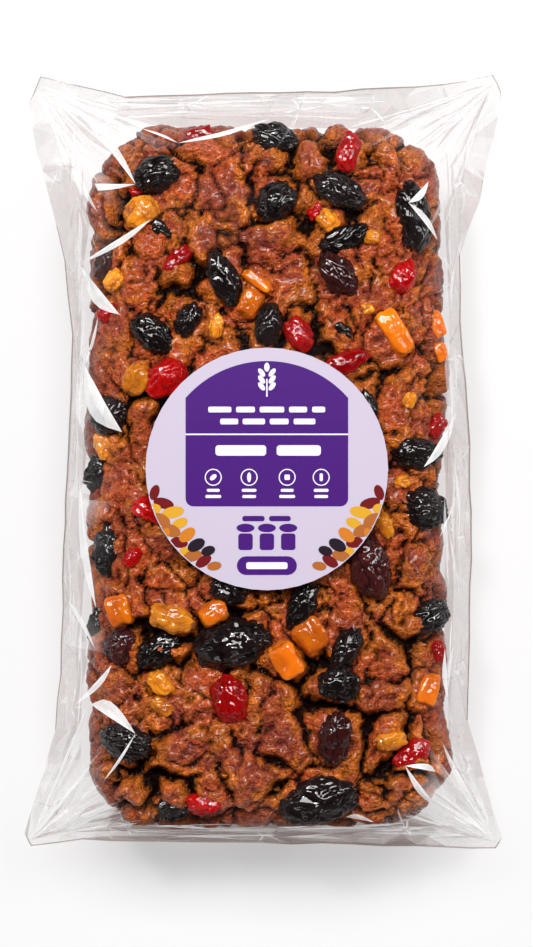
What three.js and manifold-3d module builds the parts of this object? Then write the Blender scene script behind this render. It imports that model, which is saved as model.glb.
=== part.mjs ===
// A banana bread loaf with dried fruit on its crust, lying label up in its sealed clear film bag.
// Millimetres, +Z up. +Y runs along the loaf. The origin is on the flat base, under the middle of the bag.
import * as THREE from "three";
import { mergeVertices } from "three/addons/utils/BufferGeometryUtils.js";
import Module from "manifold-3d";

const wasm = await Module();
wasm.setup();

// ---------------------------------------------------------------- driving dimensions
const LOAF_CENTRE = { x: 1, y: -4 }; // the loaf lies a little off the middle of its bag
const LOAF_LENGTH = 196; // at the tin's rim, where the loaf is widest
const LOAF_WIDTH_TOP_END = 97;
const LOAF_WIDTH_LOW_END = 101;
const LOAF_CORNER = 21; // corner radius of the loaf seen from above
const LOAF_HEIGHT = 60; // base to the crown of the crust
const RIM_HEIGHT = 46;
const BASE_LENGTH = 182;
const BASE_WIDTH = 87;
const BASE_CORNER = 15;
const SHOULDER = 13; // how far in from its edge the crust rounds over
const CROWN_DROP = 4; // how much lower the crust is beside the shoulder than along its middle

const CLUMP_PITCH = 14.5; // spacing of the crust's crags
const CLUMP_JITTER = 0.8;
const CLUMP_RISE = 3.4; // how far the highest crags stand above the lowest
const CLUMP_DOME = 2.4;
const CREVICE_WIDTH = 5.5;
const CREVICE_DEPTH = 5;
const CRUST_STEP = 3.9; // facet size of the crust
const FRUIT_SPACE = 9.5; // no crag has its middle nearer to a fruit than this

const SEAM_HEIGHT = 27; // the bag's edge, half way up the loaf
const SEAM_THICKNESS = 1.2;
const FILM_SHOULDER_HEIGHT = 44; // where the film leaves the loaf
const FILM_SHOULDER_INSET = 5;
const PLEAT_DEPTH = 1.6;

const LABEL_CENTRE = { x: 1, y: -2 };
const LABEL_RADIUS = 33.5;
const LABEL_THICKNESS = 0.4;
const LABEL_GAP = 0.3; // clear space between the label and the film under it
const LABEL_HEIGHT = 62.6; // underside of the label at its middle
const LABEL_BEND = 640; // radius of the label's crown
// The film presses down what lies under the label and its edge.
const PRESSED_HEIGHT = LABEL_HEIGHT - LABEL_RADIUS ** 2 / (2 * LABEL_BEND) - LABEL_GAP - 0.4;

// The bag's edge from its upper left ear round by the left, the lower end and the right: x, y.
const SEAM = [
  [-63, 109], [-66.5, 101], [-64, 88], [-61, 77], [-56.5, 57], [-54, 36], [-55.5, 2], [-56.5, -24],
  [-57.5, -60], [-59, -76], [-63.5, -91], [-67.5, -105], [-66, -108.5], [-51, -107], [-18, -107.5],
  [34, -108.5], [52, -109], [66, -109.5], [67.5, -106], [63, -92], [58, -73], [58.5, -50], [59, -20],
  [58.5, 5], [56, 40], [55.5, 59], [61, 74], [66.5, 98], [67.5, 105], [65, 109.5], [51, 107],
  [20, 105], [-26, 104], [-39, 103.5],
];

// Fruits on the crust, placed by hand: x, y, length, width, turn in degrees.
const FRUITS = [
  // dark raisins
  [3, 90, 13, 8.5, -15], [-29.5, 80, 14, 10, 20], [3.5, 72, 12.5, 10, 50], [21, 75.5, 15, 8.5, -25],
  [41.5, 68, 19, 10, -80], [22.5, 62, 15, 7, 22], [20.5, 52.5, 14, 8.5, -45], [-11, 50.5, 15.5, 8, -65],
  [1.5, 38, 12, 8, 80], [-21, 39.5, 9.5, 7.5, 60], [-30.5, 35.5, 14, 8.5, -38], [-43, 13.5, 11, 9.5, 40],
  [-46.5, -3, 11, 6, 70], [-43.5, -24.5, 13.5, 7.5, 85], [-46.5, -45.5, 9.5, 5, 75],
  [-29, -52.5, 13.5, 8.5, 25], [-39.5, -51, 10.5, 9, 60], [-8.5, -50.5, 21.5, 13.5, 10],
  [10.5, -40, 14, 7.5, 65], [23, -52, 13.5, 7.5, 60], [20.5, -61.5, 11.5, 10, 0],
  [20, -76.5, 15, 9, 80], [15.5, -94, 22.5, 12.5, 12], [-38, -78, 15, 10, -20],
  [-25.5, -96.5, 8.5, 7, 10], [42.5, 2.5, 14, 9, -5], [44.5, -13, 13.5, 11.5, -20],
  [29.5, -29, 17.5, 11.5, -75], [46.5, -43, 11.5, 9.5, 30], [-44.5, 55.5, 9.5, 5.5, 75],
  // red cherries
  [-18, 91, 9.5, 5, 20], [23.5, 86, 12.5, 7, 80], [-23.5, 56.5, 10.5, 5, 40], [39, 51.5, 10.5, 8, 80],
  [10, 35, 10.5, 8, -60], [22.5, 27.5, 14.5, 7, 25], [-27, 23, 13.5, 11, 20], [-32, -13.5, 10, 7, -30],
  [-9.5, -66, 14, 11, -70], [-16.5, -95, 11, 6.5, 0], [41.5, -81.5, 12, 7, 35],
  // orange peel cubes
  [13, -48.5, 11, 9.5, -50], [6.5, -55, 11, 8.5, -60], [-40, -41.5, 9.5, 7, -75], [36.5, 36, 15, 7, -55],
  [46, -63.5, 9.5, 6, 75], [-3.5, 44, 8.5, 6.5, 60], [-14, -42, 8.5, 7, 30],
  // golden raisins
  [-35.5, 23, 10, 7.5, 60], [-44.5, 4.5, 8.5, 5.5, -70], [-25.5, -43.5, 12.5, 8.5, -18],
  [-28.5, -61.5, 8.5, 6, -50], [-34, 69.5, 10.5, 8.5, 30], [33, -17, 9.5, 5, -65],
];
const FRUIT_HEIGHT = 0.72; // of its width
const FRUIT_SINK = 0.12; // of its height, how far its middle lies under the crust beside it
const FRUIT_SIDES = 8;
const FRUIT_RINGS = 4;

// ---------------------------------------------------------------- small helpers
const clamp = (value, low, high) => Math.min(high, Math.max(low, value));

function smooth(low, high, value) {
  const share = clamp((value - low) / (high - low), 0, 1);
  return share * share * (3 - 2 * share);
}

// A repeatable number from 0 to 1 for a place in a grid.
function scatter(column, row, kind) {
  const wave = Math.sin(column * 12.9898 + row * 78.233 + kind * 37.719) * 43758.5453;
  return wave - Math.floor(wave);
}

// A closed body through rings of equal count, each ring a list of [x, y, z], capped at both ends.
function loft(rings) {
  const count = rings[0].length;
  const points = rings.flat();
  const middle = (ring) => [0, 1, 2].map((axis) => ring.reduce((sum, p) => sum + p[axis], 0) / count);
  const low = points.push(middle(rings[0])) - 1;
  const high = points.push(middle(rings.at(-1))) - 1;
  const lastRing = (rings.length - 1) * count;
  const faces = [];
  for (let i = 0; i < count; i++) {
    const next = (i + 1) % count;
    faces.push(low, next, i);
    faces.push(high, lastRing + i, lastRing + next);
    for (let start = 0; start < lastRing; start += count) {
      faces.push(start + i, start + next, start + count + next);
      faces.push(start + i, start + count + next, start + count + i);
    }
  }
  return bodyOf(points, faces);
}

function bodyOf(points, faces) {
  const geometry = new THREE.BufferGeometry();
  geometry.setAttribute("position", new THREE.Float32BufferAttribute(points.flat(), 3));
  geometry.setIndex(faces);
  return geometry;
}

function solid(geometry) {
  const bare = geometry.clone();
  bare.deleteAttribute("normal");
  bare.deleteAttribute("uv");
  const merged = mergeVertices(bare, 1e-4);
  return new wasm.Manifold(
    new wasm.Mesh({
      numProp: 3,
      vertProperties: merged.attributes.position.array,
      triVerts: new Uint32Array(merged.index.array),
    }),
  );
}

function geometryOf(body) {
  const mesh = body.getMesh();
  const geometry = new THREE.BufferGeometry();
  geometry.setAttribute("position", new THREE.BufferAttribute(mesh.vertProperties, 3));
  geometry.setIndex(new THREE.BufferAttribute(mesh.triVerts, 1));
  geometry.computeVertexNormals();
  return geometry;
}

// ---------------------------------------------------------------- the loaf's plan
// The loaf is a little wider towards its lower end.
function halfWidthAt(y) {
  const share = clamp((y - LOAF_CENTRE.y) / LOAF_LENGTH + 0.5, 0, 1);
  return (LOAF_WIDTH_LOW_END + (LOAF_WIDTH_TOP_END - LOAF_WIDTH_LOW_END) * share) / 2;
}

// How far a place lies inside the loaf's plan.
function depthInside(x, y) {
  const alongX = Math.abs(x - LOAF_CENTRE.x) - (halfWidthAt(y) - LOAF_CORNER);
  const alongY = Math.abs(y - LOAF_CENTRE.y) - (LOAF_LENGTH / 2 - LOAF_CORNER);
  const outside = Math.hypot(Math.max(alongX, 0), Math.max(alongY, 0));
  return LOAF_CORNER - outside - Math.min(Math.max(alongX, alongY), 0);
}

// The place on a rounded rectangle round the loaf's centre that lies nearest to a place outside it.
function nearestOn([x, y], width, length, corner) {
  const innerX = LOAF_CENTRE.x + clamp(x - LOAF_CENTRE.x, corner - width / 2, width / 2 - corner);
  const innerY = LOAF_CENTRE.y + clamp(y - LOAF_CENTRE.y, corner - length / 2, length / 2 - corner);
  const reach = corner / Math.hypot(x - innerX, y - innerY);
  return [innerX + (x - innerX) * reach, innerY + (y - innerY) * reach];
}

// ---------------------------------------------------------------- the crust's crags
function crags() {
  const places = FRUITS.map(([x, y], i) => ({ x, y, lift: -0.4, tag: i, fruit: true }));
  const rows = Math.ceil(LOAF_LENGTH / 2 / CLUMP_PITCH);
  const columns = Math.ceil(LOAF_WIDTH_LOW_END / 2 / CLUMP_PITCH);
  for (let row = -rows; row <= rows; row++)
    for (let column = -columns; column <= columns; column++) {
      const shift = row % 2 ? 0.5 : 0;
      const x = LOAF_CENTRE.x + CLUMP_PITCH * (column + shift + CLUMP_JITTER * (scatter(column, row, 1) - 0.5));
      const y = LOAF_CENTRE.y + CLUMP_PITCH * (row + CLUMP_JITTER * (scatter(column, row, 2) - 0.5));
      const clear = FRUITS.every((fruit) => Math.hypot(fruit[0] - x, fruit[1] - y) > FRUIT_SPACE);
      if (clear) places.push({ x, y, lift: scatter(column, row, 3) - 0.5 });
    }
  return places;
}

const CRAGS = crags();

function crustHeight(x, y) {
  const inside = depthInside(x, y);
  const round = 1 - clamp(inside / SHOULDER, 0, 1);
  const across = (x - LOAF_CENTRE.x) / halfWidthAt(y);
  const dome = LOAF_HEIGHT - CROWN_DROP * across * across;
  const shoulder = SHOULDER * (1 - Math.sqrt(Math.max(0, 1 - round * round)));
  const bentX = x + 1.6 * Math.sin(0.31 * y + 0.9) + 0.9 * Math.sin(0.73 * y + 2.1);
  const bentY = y + 1.6 * Math.sin(0.29 * x + 2.3) + 0.9 * Math.sin(0.67 * x + 0.4);
  let nearest = { away: Infinity };
  let second = Infinity;
  for (const crag of CRAGS) {
    const away = Math.hypot(crag.x - bentX, crag.y - bentY);
    if (away < nearest.away) {
      second = nearest.away;
      nearest = { away, crag };
    } else if (away < second) second = away;
  }
  const toEdge = (second - nearest.away) / 2;
  const crevice = 1 - smooth(0, CREVICE_WIDTH / 2, toEdge);
  const swell = CLUMP_DOME * (1 - (nearest.away / (0.75 * CLUMP_PITCH)) ** 2);
  const free = dome - shoulder + CLUMP_RISE * nearest.crag.lift + swell - CREVICE_DEPTH * crevice;
  return underLabel(x, y, CRUST_STEP) ? Math.min(free, PRESSED_HEIGHT) : free;
}

// Whether something that reaches this far from its middle comes under the label.
function underLabel(x, y, reach) {
  return Math.hypot(x - LABEL_CENTRE.x, y - LABEL_CENTRE.y) < LABEL_RADIUS + reach;
}

// ---------------------------------------------------------------- the pieces of the filled bag
function crustSlab() {
  const margin = 4;
  const floor = 20;
  const columns = Math.round((LOAF_WIDTH_LOW_END + margin) / CRUST_STEP);
  const rows = Math.round((LOAF_LENGTH + margin) / CRUST_STEP);
  const points = [];
  for (let row = 0; row <= rows; row++)
    for (let column = 0; column <= columns; column++) {
      const x = LOAF_CENTRE.x + (column - columns / 2) * CRUST_STEP;
      const y = LOAF_CENTRE.y + (row - rows / 2) * CRUST_STEP;
      points.push([x, y, crustHeight(x, y)]);
    }
  const topCount = points.length;
  const across = columns + 1;
  const rim = [];
  for (let column = 0; column < columns; column++) rim.push(column);
  for (let row = 0; row < rows; row++) rim.push(row * across + columns);
  for (let column = columns; column > 0; column--) rim.push(rows * across + column);
  for (let row = rows; row > 0; row--) rim.push(row * across);
  for (const index of rim) points.push([points[index][0], points[index][1], floor]);
  const bottom = points.push([LOAF_CENTRE.x, LOAF_CENTRE.y, floor]) - 1;
  const faces = [];
  for (let row = 0; row < rows; row++)
    for (let column = 0; column < columns; column++) {
      const corner = row * across + column;
      faces.push(corner, corner + 1, corner + across + 1);
      faces.push(corner, corner + across + 1, corner + across);
    }
  for (let i = 0; i < rim.length; i++) {
    const next = (i + 1) % rim.length;
    faces.push(rim[i], topCount + i, topCount + next);
    faces.push(rim[i], topCount + next, rim[next]);
    faces.push(bottom, topCount + next, topCount + i);
  }
  return bodyOf(points, faces);
}

// The straight sides that the tin gave the loaf, drawn up past the crust.
function tinBody() {
  const ring = (height, lengthOf, widthOf, corner) => {
    const points = [];
    const steps = 6;
    for (let quarter = 0; quarter < 4; quarter++)
      for (let step = 0; step <= steps; step++) {
        const angle = ((quarter + step / steps) * Math.PI) / 2;
        const signX = quarter === 0 || quarter === 3 ? 1 : -1;
        const signY = quarter < 2 ? 1 : -1;
        const y = LOAF_CENTRE.y + signY * (lengthOf / 2 - corner) + corner * Math.sin(angle);
        const x = LOAF_CENTRE.x + signX * (widthOf(y) - corner) + corner * Math.cos(angle);
        points.push([x, y, height]);
      }
    return points;
  };
  return loft([
    ring(0, BASE_LENGTH, () => BASE_WIDTH / 2, BASE_CORNER),
    ring(RIM_HEIGHT, LOAF_LENGTH, halfWidthAt, LOAF_CORNER),
    ring(LOAF_HEIGHT + 20, LOAF_LENGTH, halfWidthAt, LOAF_CORNER),
  ]);
}

// The bag beside the loaf: from the loaf's shoulder out to the edge with its four ears, and in to the base.
function bagSkirt() {
  const edge = SEAM.flatMap((point, i) => {
    const next = SEAM[(i + 1) % SEAM.length];
    return [point, [(point[0] + next[0]) / 2, (point[1] + next[1]) / 2]];
  });
  const at = (height) => ([x, y]) => [x, y, height];
  const inset = 2 * FILM_SHOULDER_INSET;
  const base = edge.map((p) => at(0)(nearestOn(p, BASE_WIDTH, BASE_LENGTH, BASE_CORNER)));
  const shoulder = edge.map((p) =>
    at(FILM_SHOULDER_HEIGHT)(nearestOn(p, LOAF_WIDTH_TOP_END - inset, LOAF_LENGTH - inset, LOAF_CORNER)),
  );
  const lowSeam = edge.map(at(SEAM_HEIGHT - SEAM_THICKNESS / 2));
  const highSeam = edge.map(at(SEAM_HEIGHT + SEAM_THICKNESS / 2));
  const pleats = edge.map(([x, y], i) => {
    const [innerX, innerY, innerZ] = shoulder[i];
    const fold = i % 2 ? PLEAT_DEPTH : -PLEAT_DEPTH;
    return [(x + innerX) / 2, (y + innerY) / 2, (SEAM_HEIGHT + innerZ) / 2 + 2 + fold];
  });
  return loft([base, lowSeam, highSeam, pleats, shoulder]);
}

function fruit([x, y, length, width, turn]) {
  const height = FRUIT_HEIGHT * width;
  const geometry = new THREE.SphereGeometry(0.5, FRUIT_SIDES, FRUIT_RINGS);
  geometry.rotateZ(Math.PI / 2);
  geometry.scale(length, width, height);
  geometry.rotateZ(THREE.MathUtils.degToRad(turn));
  const free = crustHeight(x, y) - FRUIT_SINK * height;
  const pressed = underLabel(x, y, length / 2) ? PRESSED_HEIGHT - height / 2 : free;
  geometry.translate(x, y, Math.min(free, pressed));
  return geometry;
}

// A round plate that is crowned like the label, between two heights above the label's underside.
function crownedDisc(bottom, top) {
  const segments = 48;
  const radii = [LABEL_RADIUS / 3, (2 * LABEL_RADIUS) / 3, LABEL_RADIUS];
  const crown = (radius) => LABEL_HEIGHT - (radius * radius) / (2 * LABEL_BEND);
  const ring = (radius, rise) =>
    Array.from({ length: segments }, (_, i) => {
      const angle = (2 * Math.PI * i) / segments;
      return [
        LABEL_CENTRE.x + radius * Math.cos(angle),
        LABEL_CENTRE.y + radius * Math.sin(angle),
        crown(radius) + rise,
      ];
    });
  const under = radii.map((radius) => ring(radius, bottom));
  const over = radii.map((radius) => ring(radius, top)).reverse();
  return loft([...under, ...over]);
}

function filledBag() {
  const padDepth = 14;
  let body = solid(tinBody()).intersect(solid(crustSlab()));
  body = body.add(solid(bagSkirt()));
  body = body.add(solid(crownedDisc(-LABEL_GAP - padDepth, -LABEL_GAP)));
  for (const placed of FRUITS) body = body.add(solid(fruit(placed)));
  // Only the outermost shell is kept, so a pit that a fruit closes over is filled.
  const shells = body.decompose().sort((a, b) => b.volume() - a.volume());
  return geometryOf(shells[0]);
}

// ---------------------------------------------------------------- the scene graph
const crust = new THREE.MeshStandardMaterial({ color: 0x7a3f22, roughness: 0.7, metalness: 0 });
const paper = new THREE.MeshStandardMaterial({ color: 0xdfd4e9, roughness: 0.5, metalness: 0 });

const part = new THREE.Group();

const bag = new THREE.Mesh(filledBag(), crust);
bag.name = "film_bag";
part.add(bag);

const label = new THREE.Mesh(crownedDisc(0, LABEL_THICKNESS), paper);
label.name = "label";
part.add(label);

export default part;
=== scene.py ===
"""A banana bread loaf with dried fruit in its crust, sealed in a clear film bag with a round paper label.

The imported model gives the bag's outline and the label.
The loaf, its fruits, the film and the print are made here.
"""
import math
from collections import namedtuple

import bmesh
import bpy
import numpy as np
from bpy.props import FloatProperty, FloatVectorProperty, IntProperty, PointerProperty
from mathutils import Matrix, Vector
from mathutils.bvhtree import BVHTree
from mathutils.geometry import delaunay_2d_cdt


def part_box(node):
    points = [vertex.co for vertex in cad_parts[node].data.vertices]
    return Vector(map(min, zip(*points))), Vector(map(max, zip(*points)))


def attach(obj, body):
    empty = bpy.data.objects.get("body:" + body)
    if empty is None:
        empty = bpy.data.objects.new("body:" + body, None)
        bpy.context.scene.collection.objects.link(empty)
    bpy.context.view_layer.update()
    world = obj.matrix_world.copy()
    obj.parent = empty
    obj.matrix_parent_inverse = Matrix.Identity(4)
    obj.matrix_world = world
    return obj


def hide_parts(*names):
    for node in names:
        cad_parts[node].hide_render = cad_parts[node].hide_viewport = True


bl_info = {
    "name": "Wrapped Fruit Loaf",
    "version": (1, 0, 0),
    "blender": (4, 5, 0),
    "location": "3D View > Sidebar > Fruit Loaf",
    "description": "Builds a banana bread loaf with dried fruit in a clear film bag with a round label",
    "category": "Object",
}

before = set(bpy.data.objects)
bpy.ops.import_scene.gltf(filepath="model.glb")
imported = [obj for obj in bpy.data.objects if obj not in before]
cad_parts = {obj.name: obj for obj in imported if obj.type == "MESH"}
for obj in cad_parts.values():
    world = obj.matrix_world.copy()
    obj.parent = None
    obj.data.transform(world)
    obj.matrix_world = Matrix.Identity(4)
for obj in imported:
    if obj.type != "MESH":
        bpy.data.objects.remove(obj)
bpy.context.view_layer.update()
MM = 0.001
# Turns and shares that spread things out without repeating.
GOLDEN_ANGLE = 2.4
GOLDEN_SHARE = 0.618
# Rays that look for a surface fall from this height.
ABOVE = 200 * MM
DOWN = Vector((0, 0, -1))
WHITE = (1, 1, 1, 1)

# ---------------------------------------------------------------- what the frame gives
LABEL_LOW, LABEL_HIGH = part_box("label")
LABEL_X = (LABEL_LOW.x + LABEL_HIGH.x) / 2
LABEL_Y = (LABEL_LOW.y + LABEL_HIGH.y) / 2
LABEL_RADIUS = (LABEL_HIGH.x - LABEL_LOW.x) / 2
# The radius of the crown that the label is bent over.
LABEL_BEND = 640 * MM

# Fruits in millimetres and degrees: x, y, length, width, turn.
DARK_RAISINS = [
    (3, 90, 13, 8.5, -15), (-29.5, 80, 14, 10, 20), (3.5, 72, 12.5, 10, 50), (21, 75.5, 15, 8.5, -25),
    (41.5, 68, 19, 10, -80), (22.5, 62, 15, 7, 22), (-11, 50.5, 15.5, 8, -65), (-28.5, 65, 6.5, 4, -35),
    (1.5, 38, 12, 8, 80), (-21, 39.5, 9.5, 7.5, 60), (-30.5, 35.5, 14, 8.5, -38), (-43, 13.5, 11, 9.5, 40),
    (-46.5, -3, 11, 6, 70), (-43.5, -24.5, 13.5, 7.5, 85), (-46.5, -45.5, 9.5, 5, 75),
    (-29, -52.5, 13.5, 8.5, 25), (-8.5, -50.5, 21.5, 13.5, 10), (-9.5, -35, 11.5, 8, -10),
    (10.5, -40, 14, 7.5, 65), (23, -52, 13.5, 7.5, 60), (20.5, -61.5, 11.5, 10, 0),
    (15.5, -94, 22.5, 12.5, 12), (-38, -78, 15, 10, -20), (-25.5, -96.5, 8.5, 7, 10),
    (42.5, 2.5, 14, 9, -5), (44.5, -13, 13.5, 11.5, -20),
    (46.5, -43, 11.5, 9.5, 30), (28.5, 16, 9.5, 5.5, -60), (22.5, 36.5, 4.5, 3, -35),
]
RED_RAISINS = [
    (20.5, 52.5, 14, 8.5, -45), (-39.5, -51, 10.5, 9, 60), (20, -76.5, 15, 9, 80),
    (29.5, -29, 17.5, 11.5, -75), (-44.5, 55.5, 9.5, 5.5, 75),
]
CHERRIES = [
    (-18, 91, 9.5, 5, 20), (23.5, 86, 12.5, 7, 80), (-23.5, 56.5, 10.5, 5, 40), (39, 51.5, 10.5, 8, 80),
    (10, 35, 10.5, 8, -60), (22.5, 27.5, 14.5, 7, 25), (-27, 23, 13.5, 11, 20), (-43.5, 41.5, 7, 4.5, 60),
    (-32, -13.5, 10, 7, -30), (-36.5, -26.5, 7, 5, 50), (-9.5, -66, 14, 11, -70), (-16.5, -95, 11, 6.5, 0),
    (41.5, -81.5, 12, 7, 35), (49, -53, 7, 4.5, -70), (-35.5, 75.5, 4, 3, 0), (48.5, 10, 7.5, 5, 60),
    (14.5, 69.5, 5.5, 4.5, 40),
]
ORANGE_CUBES = [
    (13, -48.5, 11, 9.5, -50), (6.5, -55, 11, 8.5, -60), (-40, -41.5, 9.5, 7, -75), (36.5, 36, 15, 7, -55),
    (46, -63.5, 9.5, 6, 75), (-3.5, 44, 8.5, 6.5, 60), (-1.5, 50, 10, 3.5, -35), (-14, -42, 8.5, 7, 30),
    (48.5, 38.5, 8.5, 4, -75), (49.5, 30.5, 6, 4, -70),
]
GOLDEN_FRUITS = [
    (-35.5, 23, 10, 7.5, 60), (-44.5, 4.5, 8.5, 5.5, -70), (-25.5, -43.5, 12.5, 8.5, -18),
    (-13, 37.5, 7, 4.5, 75), (-28.5, -61.5, 8.5, 6, -50), (-28, -68, 6.5, 5, -30),
    (18, 67, 6.5, 5.5, -50), (30.5, 62.5, 5, 4, 0), (-41.5, 50.5, 7, 5.5, 60),
    (-34, 69.5, 10.5, 8.5, 30), (35.5, -77.5, 9.5, 5.5, 15),
    (29, 42.5, 4, 3.5, 0), (40.5, 17, 5, 3.5, 60), (33, -17, 9.5, 5, -65), (38.5, -5.5, 5, 4, 0),
]
ALL_FRUITS = DARK_RAISINS + RED_RAISINS + CHERRIES + ORANGE_CUBES + GOLDEN_FRUITS


# ---------------------------------------------------------------- settings that a user would change
def size_setting(name, description, millimetres):
    return FloatProperty(name=name, description=description, default=millimetres * MM, unit="LENGTH")


def colour_setting(name, description, *default):
    return FloatVectorProperty(name=name, description=description, default=default, subtype="COLOR")


class LoafSizes(bpy.types.PropertyGroup):
    length: size_setting("Length", "Length of the loaf at its rim", 196)
    width: size_setting("Width", "Width of the loaf at its lower end", 101)
    narrowing: size_setting("Narrowing", "How much narrower the other end is", 4)
    height: size_setting("Height", "From the base to the crown of the crust", 57)
    corner: size_setting("Corner", "Corner radius seen from above", 21)
    shoulder: size_setting("Shoulder", "Radius of the crust's rounded edge", 12)
    taper: size_setting("Taper", "How far the sides lean in down to the base", 6)
    crag: size_setting("Crag", "Spacing of the crags", 15.5)
    seed: IntProperty(name="Seed", description="Picks another loaf of the same kind", default=7)


class Colours(bpy.types.PropertyGroup):
    crust: colour_setting("Crust", "Golden brown faces of the crags", 0.52, 0.085, 0.018)
    baked: colour_setting("Baked", "Darker crust on the crags' tops", 0.18, 0.030, 0.022)
    crumb: colour_setting("Crumb", "Torn crumb beside the crevices", 0.90, 0.225, 0.020)
    # Painted shade: this near-black is mixed into the crust's hollows, crevices and pits.
    crevice: colour_setting("Crevice", "Deep between the crags", 0.007, 0.001, 0.0003)
    raisin: colour_setting("Raisin", "Dark raisins", 0.011, 0.006, 0.006)
    red_raisin: colour_setting("Red raisin", "Raisins with a red cast", 0.06, 0.010, 0.010)
    cherry: colour_setting("Cherry", "Candied cherries", 0.45, 0.003, 0.003)
    orange: colour_setting("Orange", "Candied orange cubes", 0.95, 0.23, 0.004)
    golden: colour_setting("Golden", "Golden raisins", 1.0, 0.36, 0.016)
    film: colour_setting("Film", "What one layer of film lets through", 0.995, 0.99, 0.988)
    lilac: colour_setting("Lilac", "Label paper", 0.575, 0.51, 0.63)
    purple: colour_setting("Purple", "Label print", 0.066, 0.012, 0.182)


class BagSizes(bpy.types.PropertyGroup):
    seam_height: size_setting("Seam height", "Height of the bag's edge", 27)
    crumple: size_setting("Crumple", "How far the creases stand out", 1.5)
    crease: size_setting("Crease", "Width of a fold line", 0.16)
    seed: IntProperty(name="Seed", description="Picks other creases", default=11)


SETTINGS = {"fruit_loaf_sizes": LoafSizes, "fruit_loaf_bag": BagSizes, "fruit_loaf_colours": Colours}


# ---------------------------------------------------------------- noise on arrays of points
def shuffle(cells, salt):
    """A repeatable number from 0 to 1 for each cell of a grid, by mixing the bits of its place."""
    mixed = cells[..., 0] * 374761393 + cells[..., 1] * 668265263 + cells[..., 2] * 1440662683
    mixed = (mixed + salt * 1274126177) & 0xFFFFFFFF
    mixed = ((mixed ^ (mixed >> 13)) * 1274126177) & 0xFFFFFFFF
    mixed = ((mixed ^ (mixed >> 15)) * 2246822519) & 0xFFFFFFFF
    return ((mixed ^ (mixed >> 16)) & 0xFFFFFF) / 0xFFFFFF


def drift(points, size, salt):
    """Smooth noise from about -1 to 1 whose swells are about this size."""
    place = points / size
    cell = np.floor(place).astype(np.int64)
    share = place - cell
    fade = share * share * share * (share * (share * 6 - 15) + 10)
    total = np.zeros(len(points))
    for corner in range(8):
        step = np.array([corner & 1, corner >> 1 & 1, corner >> 2 & 1])
        weight = np.prod(np.where(step, fade, 1 - fade), axis=1)
        turn = 2 * math.pi * shuffle(cell + step, salt)
        rise = 2 * shuffle(cell + step, salt + 500) - 1
        level = np.sqrt(1 - rise * rise)
        away = share - step
        slope = level * (np.cos(turn) * away[:, 0] + np.sin(turn) * away[:, 1]) + rise * away[:, 2]
        total += weight * slope
    return np.clip(total * 1.7, -1, 1)


def drift3(points, size, salt):
    """Smooth noise along each axis, to warp points with."""
    return np.stack([drift(points, size, salt + axis) for axis in range(3)], axis=1)


def pebbles(points, size, salt):
    """Distances to the nearest and the second nearest of scattered middles, in their spacing."""
    place = points / size
    cell = np.floor(place).astype(np.int64)
    first = np.full(len(points), 9.0)
    second = np.full(len(points), 9.0)
    for near in np.ndindex(3, 3, 3):
        spot = cell + np.array(near) - 1
        middle = spot + np.stack([shuffle(spot, salt + axis) for axis in range(3)], axis=1)
        away = np.linalg.norm(middle - place, axis=1)
        second = np.minimum(second, np.maximum(first, away))
        first = np.minimum(first, away)
    return first, second


def smooth(low, high, value):
    """An even rise from 0 at low to 1 at high."""
    share = np.clip((value - low) / (high - low), 0, 1)
    return share * share * (3 - 2 * share)


# ---------------------------------------------------------------- the loaf's smooth form
def label_underside(points):
    """How far each point is from the label's middle, and the height of its bent underside there."""
    away = np.hypot(points[:, 0] - LABEL_X, points[:, 1] - LABEL_Y)
    return away, LABEL_LOW.z + (LABEL_RADIUS**2 - away**2) / (2 * LABEL_BEND)


def label_ceiling(points):
    """How high the crust and its fruits may rise: they are pressed down under the label."""
    away, crown = label_underside(points)
    return crown - 0.9 * MM + 1.6 * np.maximum(away - LABEL_RADIUS - 0.5 * MM, 0)


class LoafForm:
    """The loaf's plan, a long shape with round corners that is a little narrower at one end."""

    def __init__(self, sizes):
        self.sizes = sizes
        self.middle = np.array([1 * MM, -4 * MM])

    def half_width(self, y):
        """Half the loaf's width at this place along it."""
        share = np.clip((y - self.middle[1]) / self.sizes.length + 0.5, 0, 1)
        return (self.sizes.width - self.sizes.narrowing * share) / 2

    def inside(self, plan, grow=0.0):
        """How far each place lies inside the plan, grown by this much, and the way out from there."""
        offset = plan - self.middle
        half = np.stack([self.half_width(plan[:, 1]), np.full(len(plan), self.sizes.length / 2)], axis=1)
        corner = self.sizes.corner + grow
        reach = np.abs(offset) - (half + grow - corner)
        outside = np.maximum(reach, 0)
        length = np.linalg.norm(outside, axis=1)
        depth = corner - length - np.minimum(reach.max(axis=1), 0)
        flat = np.where((reach[:, 0] > reach[:, 1])[:, None], [1.0, 0.0], [0.0, 1.0])
        round_corner = outside / np.maximum(length, 1e-9)[:, None]
        way = np.where((length > 1e-9)[:, None], round_corner, flat)
        return depth, way * np.sign(offset)


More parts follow.
